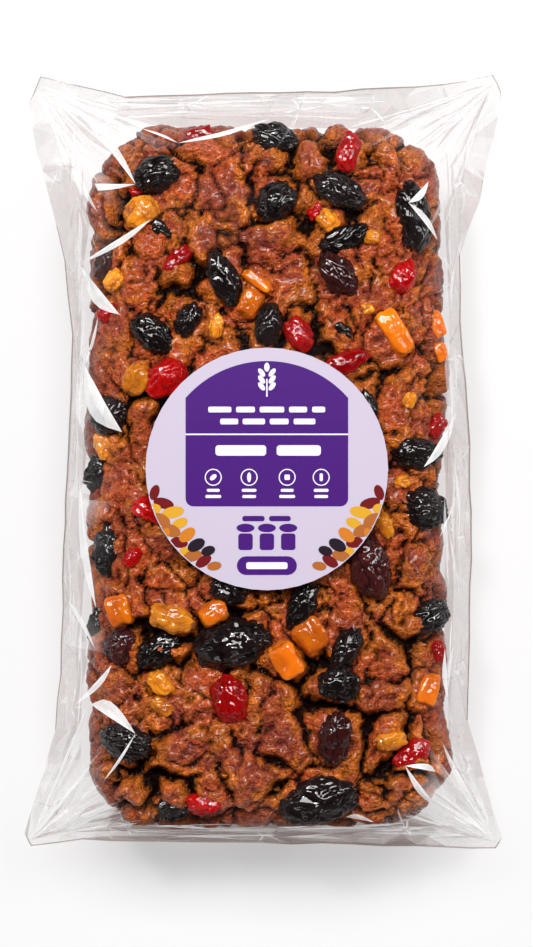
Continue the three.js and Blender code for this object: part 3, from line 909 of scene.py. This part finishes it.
def nearest_on_ring(places, ring):
    """Distance from each place to the ring's edges."""
    best = np.full(len(places), 1.0)
    for a, b in zip(ring, np.roll(ring, -1, axis=0)):
        along = np.clip(((places - a) @ (b - a)) / max((b - a) @ (b - a), 1e-12), 0, 1)
        away = np.linalg.norm(places - a - along[:, None] * (b - a), axis=1)
        best = np.minimum(best, away)
    return best


def within_ring(places, ring):
    """Which places lie inside the ring: a line from each crosses its edges an odd number of times."""
    inside = np.zeros(len(places), bool)
    for a, b in zip(ring, np.roll(ring, -1, axis=0)):
        crosses = (a[1] > places[:, 1]) != (b[1] > places[:, 1])
        slope = (b[0] - a[0]) / (b[1] - a[1]) if b[1] != a[1] else 0
        inside ^= crosses & (places[:, 0] < a[0] + (places[:, 1] - a[1]) * slope)
    return inside


def landing_of(tip, turn, form):
    """Where a crease from an ear's tip meets the loaf: -1 is far along the side, 1 far along the end."""
    side, end = np.sign(tip)
    half = np.array([form.half_width(tip[1]) - 6 * MM, form.sizes.length / 2 - 7 * MM])
    corner = form.middle + np.array([side, end]) * half
    run = 44 * MM * abs(turn) ** 1.4
    landing = corner + (np.array([0, -end * run]) if turn < 0 else np.array([-side * run, 0]))
    return landing - np.array([side, end]) * 4 * MM * max(0, 1 - 3 * abs(turn))


class Sheet:
    """One sheet of the film: a plan of points and creases that becomes facets."""

    def __init__(self, ring, form, bag, random, upper):
        self.ring, self.form, self.bag, self.random, self.upper = ring, form, bag, random, upper
        self.plan = [tuple(place) for place in ring]
        self.offsets = [0.0] * len(ring)
        self.creases = []

    def add(self, x, y, offset):
        """A point here that stands this far out of the smooth sheet. Returns its number."""
        self.plan.append((x, y))
        self.offsets.append(offset)
        return len(self.plan) - 1

    def fan(self, tip):
        """Creases that run from an ear's tip to the loaf, high and low in turn."""
        random = self.random
        start = self.add(*tip, 0.0)
        count = 13  # creases in an ear
        for spoke in range(count):
            turn = 2 * (spoke + 0.5 + 0.5 * (random.random() - 0.5)) / count - 1
            landing = landing_of(tip, turn, self.form)
            high = 1 if spoke % 2 else -1
            before = start
            for share in (0.15 + 0.08 * random.random(), 0.42 + 0.22 * random.random(), 1.0):
                place = tip + (landing - tip) * share
                place = place + (random.random(2) - 0.5) * 1.2 * MM * (1 if share < 1 else 2)
                width = np.linalg.norm(landing - tip) * share * 1.9 / count
                offset = high * width * (0.16 + 0.2 * random.random()) * (1 if share < 1 else 0.4)
                point = self.add(*place, offset)
                self.creases.append((before, point))
                before = point

    def line(self, start, end, gap, stray, height):
        """A long uneven crease between two places."""
        random = self.random
        start, end = np.array(start) * MM, np.array(end) * MM
        length = np.linalg.norm(end - start)
        out = np.array([start[1] - end[1], end[0] - start[0]]) / length
        travelled, before, high = 0.0, None, 1
        while travelled < length:
            place = start + (end - start) * travelled / length + out * (random.random() - 0.5) * stray * MM
            point = self.add(*place, high * height * (0.3 + random.random()) * MM)
            if before is not None:
                self.creases.append((before, point))
            before, high = point, -high
            travelled += gap * (0.6 + 0.8 * random.random()) * MM

    def star(self, knot):
        """Creases that meet in a knot."""
        random = self.random
        middle = self.add(*knot, (random.random() - 0.35) * 2 * self.bag.crumple)
        count = int(random.integers(6, 9))
        reach = (3 + 3.5 * random.random()) * MM
        for ray in range(count):
            angle = 2 * math.pi * (ray + 0.6 * random.random()) / count
            far = reach * (0.5 + 1.1 * random.random())
            offset = (1 if ray % 2 else -1) * self.bag.crumple * (0.2 + 0.4 * random.random())
            place = (knot[0] + far * math.cos(angle) * 0.7, knot[1] + far * math.sin(angle))
            self.creases.append((middle, self.add(*place, offset)))

    def fill(self):
        """Scattered points: close together over the loaf in the upper sheet, farther apart elsewhere."""
        tries = (self.random.random((26000, 2)) - 0.5) * [140 * MM, 224 * MM]
        depth, _ = self.form.inside(tries)
        fine = 3.1 * MM if self.upper else 14 * MM
        spacing = np.where(depth > LOOSE, fine, np.where(depth > 0, 6 * MM, 9 * MM))
        # Points are kept in square cells, so that only those near a new one are measured.
        size = 6 * MM
        kept = {}
        for place, space, deep in [*[(p, 0, 0) for p in self.plan], *zip(tries, spacing, depth)]:
            cell = (math.floor(place[0] / size), math.floor(place[1] / size))
            reach = math.ceil(space / size)
            near = [
                other
                for i in range(cell[0] - reach, cell[0] + reach + 1)
                for j in range(cell[1] - reach, cell[1] + reach + 1)
                for other in kept.get((i, j), ())
            ]
            if all(math.dist(place, other) > space for other in near):
                kept.setdefault(cell, []).append(place)
                if space:
                    free = 1 - smooth(0, LOOSE, deep)
                    self.add(*place, (self.random.random() - 0.5) * 0.7 * self.bag.crumple * free)

    def triangulate(self):
        """The sheet's plan and faces, how far each point stands out, and which are on the bag's edge."""
        count = len(self.ring)
        plan = np.array(self.plan)
        inside = within_ring(plan, self.ring) & (nearest_on_ring(plan, self.ring) > 0.2 * MM)
        inside[:count] = True
        index = np.cumsum(inside) - 1
        creases = [(int(index[a]), int(index[b])) for a, b in self.creases if inside[a] and inside[b]]
        offsets = np.array(self.offsets)[inside]
        loop = [list(range(count))]
        places = [Vector(place) for place in plan[inside]]
        points, _, faces, origins, _, _ = delaunay_2d_cdt(places, creases, loop, 1, 1e-6)
        given = np.array([offsets[origin[0]] if origin else 0.0 for origin in origins])
        edge = np.array([bool(origin) and min(origin) < count for origin in origins])
        return np.array([tuple(point) for point in points]), np.array(faces), given, edge


class LOAF_OT_film(bpy.types.Operator):
    """Seal the loaf in its clear film bag"""

    bl_idname = "fruit_loaf.film"
    bl_label = "Film Bag"

    def execute(self, context):
        bag = context.scene.fruit_loaf_bag
        form = LoafForm(context.scene.fruit_loaf_sizes)
        random = np.random.default_rng(bag.seed)
        ring = self.split_ring(seam_ring(bag.seam_height), random)
        contents = self.contents_tops()
        upper = self.sheet(ring, form, bag, random, contents, upper=True)
        lower = self.sheet(ring, form, bag, random, contents, upper=False)
        folds = self.fold_faces(upper, ring, form, random, bag)
        points, faces, even, haze, calm, dense = [], [], [], [], [], []
        for part, order in ((upper, [0, 1, 2]), (lower, [2, 1, 0]), (folds, [0, 1, 2])):
            faces += (part.faces[:, order] + sum(map(len, points))).tolist()
            points.append(part.points)
            even += part.even
            haze.append(np.array(part.haze)[:, order].ravel())
            calm.append(np.repeat(part.calm, 3))
            dense.append(np.repeat(part.dense, 3))
        material = film_material(context.scene.fruit_loaf_colours)
        film = add_piece("film", np.concatenate(points), faces, material)
        film.data.polygons.foreach_set("use_smooth", even)
        for name, values in (("haze", haze), ("taut", calm), ("dense", dense)):
            layer = film.data.attributes.new(name, "FLOAT", "CORNER")
            layer.data.foreach_set("value", np.concatenate(values).astype(np.float32))
        self.weld_and_crease(film, bag)
        settle(film, "clear_film", "film_bag")
        return {"FINISHED"}

    def split_ring(self, ring, random):
        """The bag's edge with a point every few millimetres, a little uneven."""
        points = []
        for a, b in zip(ring, np.roll(ring, -1, axis=0)):
            parts = max(1, round(float(np.linalg.norm(b - a)) / (8 * MM)))
            for part in range(parts):
                points.append(a + (b - a) * part / parts)
        points = np.array(points)
        return points + (random.random(points.shape) - 0.5) * 0.5 * MM

    def contents_tops(self):
        """The highest point of the loaf and its fruits in each cell of 1.5 mm."""
        cell = 1.5 * MM
        best = {}
        for name in CONTENTS:
            points = points_of(bpy.data.objects[name].data)
            keys = np.round(points[:, :2] / cell).astype(int)
            order = np.argsort(points[:, 2])
            for key, point in zip(map(tuple, keys[order]), points[order]):
                if key not in best or point[2] > best[key][2]:
                    best[key] = point
        return np.array(list(best.values()))

    def sheet(self, ring, form, bag, random, contents, upper):
        """One sheet of film, creased, with its misting and painted glints, which faces are even and calm,
        and the density and painted shade of each.
        """
        sheet = Sheet(ring, form, bag, random, upper)
        inward = ring - WELD_LINE * ring / np.linalg.norm(ring, axis=1)[:, None]
        rim_points = [sheet.add(*place, 0.0) for place in inward]
        sheet.creases += list(zip(rim_points, rim_points[1:] + rim_points[:1]))
        for ear in EARS:
            sheet.fan(np.array(ear) * MM * (1 if upper else 0.985))
        for side in (-1, 1):
            sheet.line((side * 52.5, -78), (side * 52.5, 78), 17, 2.0, 0.6)
        for y in (97, 101, -102.5, -105.5) if upper else (96, 99, -101, -104.5):
            sheet.line((-44, y), (44, y), 24, 1.6, 0.5)
        for x, y in KNOTS:
            sheet.star(np.array([x, y if upper else -y]) * MM)
        sheet.fill()
        plan, faces, offsets, edge = sheet.triangulate()
        depth, _ = form.inside(plan)
        level = self.level_of(plan, ring, form, bag, contents, upper) + offsets
        points = np.column_stack([plan, np.where(edge, bag.seam_height, level)])
        if upper:
            points = self.drape(points, faces, contents, edge)
        else:
            points[:, 2] = np.maximum(points[:, 2], 0.05 * MM)
        rim = nearest_on_ring(plan, ring)
        # Faces well over the loaf are even, and those that reach over it at all are calm.
        even = (depth[faces] > LOOSE).all(axis=1).tolist()
        calm = (depth[faces] > 0).any(axis=1)
        haze = []
        for corners, flat in zip(faces, even):
            veil = 0.0 if flat else 0.04 * random.random()
            # Painted glint: some raised ridges are painted white as if lit.
            lit = 0.35 + 0.6 * random.random() if random.random() < (0.36 if upper else 0.2) else 0.05
            ridge = np.where(offsets[corners] > 0, lit, 0.06) * (not flat)
            outside = 1 - smooth(-LOOSE, 0, depth[corners])
            haze.append((veil + ridge) * (0.04 + 0.96 * outside) * (rim[corners] > WELD))
        dense = []
        for corners, over in zip(faces, calm):
            x, y = plan[corners].mean(axis=0)
            # Painted shade: loose facets are tinted darker at random.
            shade = 0.0 if over else 0.01 + 0.13 * random.random() ** 3
            # Painted shadow: the hem's film is tinted dark, for the loaf's shadow seen through it.
            if y < -99 * MM and abs(x) < 46 * MM:
                shade = 0.45 + 0.9 * random.random()
            dense.append(0.7 if (rim[corners] < WELD).all() else shade)
        return Facets(points, faces, haze, even, calm, dense)

    def level_of(self, plan, ring, form, bag, contents, upper):
        """The height of the smooth sheet before its creases."""
        depth, _ = form.inside(plan)
        edge = nearest_on_ring(plan, ring)
        if not upper:
            out = np.clip(-(depth - form.sizes.taper - 3 * MM), 0, None)
            share = out / np.maximum(out + edge, 1e-6)
            return 0.1 * MM + bag.seam_height * share**1.1
        # Over the loaf it is stretched like a hull of what is inside and the bag's edge.
        hull = bmesh.new()
        for point in contents[::2]:
            hull.verts.new(point + [0, 0, 0.4 * MM])
        for place in ring:
            hull.verts.new((*place, bag.seam_height))
        bmesh.ops.convex_hull(hull, input=hull.verts)
        taut = BVHTree.FromBMesh(hull)
        rise = np.array([height_at(taut, *place, bag.seam_height) for place in plan])
        hull.free()
        pulled = smooth(0, LOOSE, edge + 0.6 * np.maximum(depth, 0)) ** 0.8
        return bag.seam_height + (rise - bag.seam_height) * pulled

    def drape(self, points, faces, contents, fixed):
        """Lifts the sheet until nothing inside the bag pokes through it, and keeps it below the label."""
        away, crown = label_underside(points)
        under = away < LABEL_RADIUS + 1.5 * MM
        points[under, 2] = crown[under] - 0.4 * MM
        for _ in range(10):
            lift = np.zeros(len(points))
            for face in faces:
                short = self.shortfall(points[face], contents)
                lift[face] = np.maximum(lift[face], short)
            lift[fixed | under] = 0
            points[:, 2] += lift * 0.7
            if lift.max() < 0.05 * MM:
                break
        return points

    def shortfall(self, corners, contents):
        """How far a facet has to rise to clear what lies under it."""
        a, b, c = corners
        low, high = corners.min(axis=0), corners.max(axis=0)
        x, y = contents[:, 0], contents[:, 1]
        near = contents[(x > low[0]) & (x < high[0]) & (y > low[1]) & (y < high[1])]
        if not len(near):
            return 0.0
        edges = (corners[1:, :2] - a[:2]).T
        if abs(np.linalg.det(edges)) < 1e-12:
            return 0.0
        shares = np.linalg.solve(edges, (near[:, :2] - a[:2]).T).T
        hit = (shares > -0.02).all(axis=1) & (shares.sum(axis=1) < 1.02)
        level = a[2] + shares[hit] @ np.array([b[2] - a[2], c[2] - a[2]])
        return (near[hit][:, 2] + CLEARANCE - level).max(initial=0.0)

    def streaks(self, form, random):
        """Slender folds that get painted glints or painted shade: where each starts, where it ends and how
        wide it is.
        """
        found = []
        for tip in np.array(EARS) * MM:
            for _ in range(EAR_STREAKS):
                landing = landing_of(tip, 2 * random.random() - 1, form)
                start = random.random() ** 1.8 * 0.6
                end = min(start + 0.2 + 0.6 * random.random(), 1.0)
                way = landing - tip
                while end > start + 0.15 and form.inside((tip + way * end)[None, :])[0][0] > 2 * MM:
                    end -= 0.04
                found.append((tip + way * start, tip + way * end, 0.3 + 1.2 * random.random() ** 3))
        for knot in np.array(KNOTS)[form.inside(np.array(KNOTS) * MM)[0] < 4 * MM] * MM:
            for _ in range(random.integers(4, 8)):
                angle = 2 * math.pi * random.random()
                way = np.array([math.cos(angle), math.sin(angle)]) * (2.5 + 6 * random.random() ** 2) * MM
                found.append((knot, knot + way, 0.2 + 0.5 * random.random()))
        for side in (-1, 1):
            for _ in range(SIDE_STREAKS):
                start = np.array([side * (51 + 5 * random.random()), 160 * (random.random() - 0.5)]) * MM
                way = np.array([3.5 * (random.random() - 0.5), 6 + 20 * random.random()]) * MM
                found.append((start, start + way, 0.3 + 0.9 * random.random() ** 2))
        for low, high in ((95.5, 104), (-107, -101)):
            for _ in range(HEM_STREAKS):
                start = np.array([96 * (random.random() - 0.5), low + (high - low) * random.random()]) * MM
                way = np.array([8 + 26 * random.random(), 3 * (random.random() - 0.5)]) * MM
                found.append((start, start + way, 0.25 + 0.7 * random.random() ** 2))
        return found

    def fold_faces(self, upper, ring, form, random, bag):
        """Slender folds that lie just over the sheet, with a painted white glint where they would catch the
        light, or with painted shade.
        """
        surface = BVHTree.FromPolygons(upper.points.tolist(), upper.faces.tolist())
        shapes = [(np.array(corners) * MM, 1.0, 0.75) for corners in FOLDS]
        for start, end, width in self.streaks(form, random):
            way = end - start
            across = np.array([-way[1], way[0]]) / np.linalg.norm(way) * width * MM
            third = start + way * (0.3 + 0.4 * random.random())
            third = third + across * (1 if random.random() < 0.5 else -1)
            # Painted glint: bright streaks are white, and the rest get painted shade.
            bright = random.random()
            shapes.append((np.array([start, end, third]), bright if bright > 0.3 else 0.0, 0.6 * bright))
        points, faces, haze, dense = [], [], [], []
        steps = 7
        for corners, edge, middle in shapes:
            if not within_ring(corners, ring).all():
                continue
            # A fold is widest beside its third corner, and has three rows of points along it.
            start, end, third = corners
            way = end - start
            widest = min(max((third - start) @ way / (way @ way), 0.15), 0.85)
            out = third - start - way * widest
            first = len(points)
            for step in range(steps + 1):
                share = step / steps
                part = share / widest if share < widest else (1 - share) / (1 - widest)
                swell = math.sin(math.pi / 2 * part)
                for across in (0.0, 0.5, 1.0):
                    x, y = start + way * share + out * swell * across
                    points.append((x, y, height_at(surface, x, y, bag.seam_height) + 0.25 * MM))
            turned = way[0] * out[1] - way[1] * out[0] < 0
            level = (edge, middle, 0.8 * edge)
            for a in [first + 3 * step + strip for step in range(steps) for strip in range(2)]:
                for face in ((a, a + 3, a + 4), (a, a + 4, a + 1)):
                    face = face[::-1] if turned else face
                    faces.append(face)
                    haze.append([level[(corner - first) % 3] for corner in face])
                    # Painted shade on the folds that are not white.
                    dense.append(0.0 if edge else 0.5)
        none = [False] * len(faces)
        return Facets(np.array(points), np.array(faces), haze, none, none, dense)

    def weld_and_crease(self, film, bag):
        """Joins the sheets at the bag's edge, and gives each sharp fold a narrow face, with a painted white
        glint or painted shade.
        """
        clear_selection()
        film.select_set(True)
        bpy.context.view_layer.objects.active = film
        bpy.ops.object.mode_set(mode="EDIT")
        bpy.ops.mesh.select_all(action="SELECT")
        bpy.ops.mesh.remove_doubles(threshold=0.02 * MM)
        bpy.ops.object.mode_set(mode="OBJECT")
        bevel = film.modifiers.new("creases", "BEVEL")
        bevel.width = bag.crease
        bevel.segments = 1
        bevel.limit_method = "ANGLE"
        bevel.angle_limit = math.radians(16)
        # The second slot marks the new faces until they have their looks.
        bevel.material = 1
        film.data.materials.append(film.data.materials[0])
        bpy.ops.object.modifier_apply(modifier=bevel.name)
        random = np.random.default_rng(bag.seed)
        haze, taut, dense = [film.data.attributes[name].data for name in ("haze", "taut", "dense")]
        for face in film.data.polygons:
            if face.material_index and taut[face.loop_start].value == 0:
                # Painted glint or painted shade on each crease face.
                bright = random.random()
                for corner in face.loop_indices:
                    haze[corner].value = bright if bright > 0.35 else 0.0
                    dense[corner].value = 0.0 if bright > 0.35 else 0.75
            face.material_index = 0
        film.data.materials.pop(index=1)


# ---------------------------------------------------------------- the label
# How far each layer of print stands over the one below it.
PRINT_STEP = 0.05 * MM
PRINT_ROUGHNESS = 0.36
# Printed dried fruits of the left cluster: x, y, half length, half width, turn and ink.
# The right cluster mirrors it.
PRINTED_FRUITS = [
    (-31, -6.5, 2.2, 1.3, 70, 0), (-28.5, -9.5, 2.9, 1.5, -15, 0), (-31, -11, 1.8, 1.4, 0, 1),
    (-26, -12, 3.2, 1.6, 12, 1), (-29, -14, 2.6, 1.5, -30, 2), (-24, -15, 2.3, 1.4, 25, 1),
    (-26.5, -17, 2.8, 1.7, -20, 2), (-22, -18.2, 2.6, 1.6, 40, 3), (-19.5, -21, 2.6, 1.6, 30, 4),
    (-24.2, -20.3, 2.4, 1.5, -10, 0), (-20.5, -24, 2.6, 1.5, 15, 2), (-17.5, -25.5, 2.5, 1.4, 35, 0),
    (-28, -17.8, 1.6, 1.1, 60, 3), (-22.6, -22.8, 1.6, 1.2, 0, 1), (-16.2, -22.6, 2.0, 1.3, 20, 4),
    (-14.5, -26.8, 2.0, 1.2, 10, 2),
]
INKS = [
    (0.16, 0.010, 0.012), (0.70, 0.36, 0.03), (0.42, 0.13, 0.03), (0.62, 0.20, 0.02), (0.02, 0.012, 0.02),
]
# The printed panel in millimetres: its round top, its straight sides, its foot, and the foot's corners.
PANEL_RADIUS = 29.8
PANEL_SIDE = 22.45
PANEL_FOOT = -10.35
PANEL_CORNER = 2.2


class LOAF_OT_label(bpy.types.Operator):
    """Print the round label with plain fields and simple shapes"""

    bl_idname = "fruit_loaf.label"
    bl_label = "Label"

    def execute(self, context):
        colours = context.scene.fruit_loaf_colours
        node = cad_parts["label"]
        node.data.materials.clear()
        node.data.materials.append(paper_material("label_paper", colours.lilac))
        self.purple_fields(paper_material("purple_print", colours.purple, PRINT_ROUGHNESS))
        self.pale_marks(paper_material("pale_print", (0.86, 0.80, 0.90), PRINT_ROUGHNESS))
        for ink, colour in enumerate(INKS):
            self.fruits(ink, paper_material(f"fruit_print_{ink}", colour, PRINT_ROUGHNESS))
        return {"FINISHED"}

    def begin(self, name):
        """An empty piece in edit mode, to which printed shapes are added."""
        clear_selection()
        mesh = bpy.data.meshes.new(name)
        piece = bpy.data.objects.new(name, mesh)
        bpy.context.scene.collection.objects.link(piece)
        piece.select_set(True)
        bpy.context.view_layer.objects.active = piece
        bpy.ops.object.mode_set(mode="EDIT")
        return piece

    def bar(self, x, y, width, height, radius):
        """A bar with round corners, in millimetres, centred here from the label's middle."""
        middle = (LABEL_X + x * MM, LABEL_Y + y * MM, 0)
        bpy.ops.mesh.select_all(action="DESELECT")
        bpy.ops.mesh.primitive_plane_add(size=width * MM, location=middle)
        bpy.ops.transform.resize(value=(1, height / width, 1), center_override=middle)
        bpy.ops.mesh.bevel(offset=radius * MM, segments=5, affect="VERTICES")

    def oval(self, x, y, half_length, half_width, turn=0.0, corners=20):
        """An oval, turned this many degrees from the label's x axis."""
        middle = (LABEL_X + x * MM, LABEL_Y + y * MM, 0)
        bpy.ops.mesh.select_all(action="DESELECT")
        bpy.ops.mesh.primitive_circle_add(
            vertices=corners, radius=half_length * MM, fill_type="NGON", location=middle
        )
        bpy.ops.transform.resize(value=(1, half_width / half_length, 1), center_override=middle)
        if turn:
            bpy.ops.transform.rotate(value=-math.radians(turn), orient_axis="Z", center_override=middle)

    def ring(self, x, y, radius, line):
        """A thin ring: a disc inset by the line's width, without its middle."""
        self.oval(x, y, radius, radius, corners=28)
        bpy.ops.mesh.inset(thickness=line * MM)
        bpy.ops.mesh.delete(type="FACE")

    def purple_fields(self, material):
        """A panel over the label's upper part, and below it two bars, three cups and a pill."""
        clear_selection()
        bpy.ops.mesh.primitive_circle_add(
            vertices=128, radius=PANEL_RADIUS * MM, fill_type="NGON", location=(LABEL_X, LABEL_Y, 0)
        )
        panel = bpy.context.object
        panel.name = "purple_fields"
        bpy.ops.object.transform_apply(location=True)
        bpy.ops.object.mode_set(mode="EDIT")
        for place, way in (
            ((LABEL_X - PANEL_SIDE * MM, 0, 0), (-1, 0, 0)),
            ((LABEL_X + PANEL_SIDE * MM, 0, 0), (1, 0, 0)),
            ((0, LABEL_Y + PANEL_FOOT * MM, 0), (0, -1, 0)),
        ):
            bpy.ops.mesh.select_all(action="SELECT")
            bpy.ops.mesh.bisect(plane_co=place, plane_no=way, clear_outer=True)
        bpy.ops.mesh.select_all(action="DESELECT")
        shape = bmesh.from_edit_mesh(panel.data)
        for vertex in shape.verts:
            vertex.select = vertex.co.y < LABEL_Y + (PANEL_FOOT + 0.05) * MM
        bmesh.update_edit_mesh(panel.data)
        bpy.ops.mesh.bevel(offset=PANEL_CORNER * MM, segments=6, affect="VERTICES")
        self.bar(-3.7, -13.7, 6.2, 1.5, 0.7)
        self.bar(3.6, -13.7, 6.0, 1.5, 0.7)
        for x in (-5.9, 0, 5.9):
            self.bar(x, -20.1, 4.0, 4.6, 0.8)
            self.oval(x, -16.3, 2.5, 1.2)
        self.bar(0, -26.7, 16.6, 5.2, 2.59)
        self.finish(panel, material, 1)

    def pale_marks(self, material):
        """A line, an ear of wheat, bars in place of words, and four rings with plain shapes in them."""
        marks = self.begin("pale_marks")
        self.bar(0, 9.55, 44.9, 0.42, 0.05)
        self.emblem()
        for y, words, height in (
            (16.4, ((-13.0, 6.4), (-5.9, 5.2), (1.4, 6.8), (8.6, 5.0), (14.3, 3.6)), 1.6),
            (13.1, ((-10.4, 5.0), (-3.6, 6.2), (3.4, 5.2), (10.4, 6.0)), 1.6),
            (5.1, ((-7.2, 14.0), (8.8, 12.2)), 2.9),
            (-26.7, ((0, 11.4),), 1.9),
        ):
            for x, width in words:
                self.bar(x, y, width, height, height * 0.3)
        for i, x in enumerate((-14.8, -4.9, 5.6, 15.0)):
            self.ring(x, -2.3, 2.35, 0.3)
            self.bar(x, -5.9, 3.6 + 0.5 * (i % 2), 0.85, 0.4)
            self.bar(x, -7.6, 4.4 - 0.6 * (i % 2), 0.85, 0.4)
        self.oval(-14.8, -2.3, 1.1, 0.65, 40)
        self.oval(-4.9, -2.3, 0.55, 1.35)
        self.bar(5.6, -2.3, 1.5, 1.5, 0.3)
        self.bar(15.0, -2.3, 0.9, 2.2, 0.4)
        self.finish(marks, material, 2)

    def emblem(self):
        """An ear of wheat."""
        self.bar(0, 22.4, 0.4, 5.0, 0.15)
        self.oval(0, 28.1, 0.75, 1.25)
        for pair in range(3):
            for side in (-1, 1):
                self.oval(side * 1.45, 26.6 - 1.9 * pair, 1.35, 0.68, side * 52)

    def fruits(self, ink, material):
        """The printed fruits that have this ink."""
        marks = self.begin(f"printed_fruits_{ink}")
        for x, y, half_length, half_width, turn, kind in PRINTED_FRUITS:
            if kind == ink:
                self.oval(x, y, half_length, half_width, turn)
                self.oval(-x, y, half_length, half_width, -turn)
        self.finish(marks, material, 1 + ink)

    def finish(self, piece, material, layer):
        """Cuts the flat shapes into squares that can bend, trims them to the label and lays them on it."""
        for step in range(-7, 8):
            for way in ((1, 0, 0), (0, 1, 0)):
                place = (LABEL_X + step * 4.5 * MM, LABEL_Y + step * 4.5 * MM, 0)
                bpy.ops.mesh.select_all(action="SELECT")
                bpy.ops.mesh.bisect(plane_co=place, plane_no=way)
        cuts = 72
        for step in range(cuts):
            angle = 2 * math.pi * step / cuts
            way = Vector((math.cos(angle), math.sin(angle), 0))
            place = Vector((LABEL_X, LABEL_Y, 0)) + way * (LABEL_RADIUS - 0.35 * MM)
            bpy.ops.mesh.select_all(action="SELECT")
            bpy.ops.mesh.bisect(plane_co=place, plane_no=way, clear_outer=True)
        bpy.ops.mesh.select_all(action="SELECT")
        bpy.ops.mesh.quads_convert_to_tris()
        bpy.ops.mesh.normals_make_consistent(inside=False)
        bpy.ops.object.mode_set(mode="OBJECT")
        paper = surface_of(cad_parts["label"].data)
        points = points_of(piece.data)
        for point in points:
            point[2] = fall(paper, point[0], point[1])[0].z + layer * PRINT_STEP
        put_points(piece.data, points)
        if any(face.normal.z < 0 for face in piece.data.polygons):
            piece.data.flip_normals()
        piece.data.materials.append(material)
        settle(piece, "label_print")


# ---------------------------------------------------------------- the stage
# The softboxes: name, place and sides in metres, and watts. All of them face the loaf.
SOFTBOXES = [
    ("softbox_top", (0.04, 0.47, 1.29), (0.8, 0.46), 16.0),
    ("softbox_glint", (-0.3, 0.44, 1.3), (0.14, 0.14), 4.0),
    ("softbox_left", (-0.95, 0.3, 0.95), (0.2, 0.7), 2.0),
    ("softbox_right", (0.95, 0.3, 0.95), (0.2, 0.7), 3.2),
    ("softbox_low", (0.1, -1.1, 1.0), (0.6, 0.2), 1.0),
]
CAMERA_PLACE = (0.9 * MM, -3.26 * MM, 1.488)


class LOAF_OT_stage(bpy.types.Operator):
    """Set the white table, the softboxes and the camera above the loaf"""

    bl_idname = "fruit_loaf.stage"
    bl_label = "Stage"

    def execute(self, context):
        self.floor()
        self.world(context.scene)
        for softbox in SOFTBOXES:
            self.softbox(*softbox)
        self.camera(context.scene)
        context.scene.view_settings.view_transform = "Standard"
        return {"FINISHED"}

    def floor(self):
        """A white table that glows a little, so that it shows as white as the background of a packshot."""
        clear_selection()
        bpy.ops.mesh.primitive_plane_add(size=6, location=(0, 0, -0.4 * MM))
        floor = bpy.context.object
        floor.name = "table"
        bpy.ops.object.transform_apply(location=True)
        material = finish_material(
            new_material("white_table"), Base_Color=opaque((0.45, 0.45, 0.45)), Roughness=0.9,
            Emission_Color=WHITE, Emission_Strength=0.46,
        )
        floor.data.materials.append(material)

    def world(self, scene):
        """White light from the sides, and little from above."""
        world = bpy.data.worlds.new("studio")
        world.use_nodes = True
        tree = world.node_tree
        tree.nodes.clear()
        place = tree.nodes.new("ShaderNodeTexCoord").outputs["Generated"]
        height = add_node(tree, "ShaderNodeSeparateXYZ", Vector=place).outputs["Z"]
        strength = spread(tree, height, 0.1, 0.42, 0.6, 0.02)
        background = add_node(tree, "ShaderNodeBackground", Color=WHITE, Strength=strength)
        add_node(tree, "ShaderNodeOutputWorld", Surface=background.outputs[0])
        scene.world = world

    def softbox(self, name, place, size, power):
        data = bpy.data.lights.new(name, "AREA")
        data.shape = "RECTANGLE"
        data.size, data.size_y = size
        data.energy = power
        light = bpy.data.objects.new(name, data)
        light.location = place
        light.rotation_euler = (-Vector(place)).to_track_quat("-Z", "Y").to_euler()
        bpy.context.scene.collection.objects.link(light)

    def camera(self, scene):
        """It looks straight down."""
        data = bpy.data.cameras.new("camera")
        data.sensor_width = 36
        data.lens = 196.3
        camera = bpy.data.objects.new("camera", data)
        camera.location = CAMERA_PLACE
        scene.collection.objects.link(camera)
        scene.camera = camera


class LOAF_PT_panel(bpy.types.Panel):
    """The loaf's settings and steps"""

    bl_idname = "LOAF_PT_panel"
    bl_label = "Fruit Loaf"
    bl_space_type = "VIEW_3D"
    bl_region_type = "UI"
    bl_category = "Fruit Loaf"

    def draw(self, context):
        for name, group in SETTINGS.items():
            box = self.layout.box()
            for key in group.__annotations__:
                box.prop(getattr(context.scene, name), key)
        for step in STEPS:
            self.layout.operator(step.bl_idname)


STEPS = [
    LOAF_OT_stage, LOAF_OT_bread, LOAF_OT_raisins, LOAF_OT_cherries,
    LOAF_OT_candied, LOAF_OT_film, LOAF_OT_label,
]


def register():
    for group in SETTINGS.values():
        bpy.utils.register_class(group)
    for name, group in SETTINGS.items():
        setattr(bpy.types.Scene, name, PointerProperty(type=group))
    for step in STEPS:
        bpy.utils.register_class(step)
    bpy.utils.register_class(LOAF_PT_panel)


def unregister():
    bpy.utils.unregister_class(LOAF_PT_panel)
    for step in reversed(STEPS):
        bpy.utils.unregister_class(step)
    for name, group in SETTINGS.items():
        delattr(bpy.types.Scene, name)
        bpy.utils.unregister_class(group)


def main():
    register()
    bpy.ops.fruit_loaf.stage()
    bpy.ops.fruit_loaf.bread()
    bpy.ops.fruit_loaf.raisins()
    bpy.ops.fruit_loaf.cherries()
    bpy.ops.fruit_loaf.candied()
    bpy.ops.fruit_loaf.film()
    bpy.ops.fruit_loaf.label()


if __name__ == "__main__":
    main()
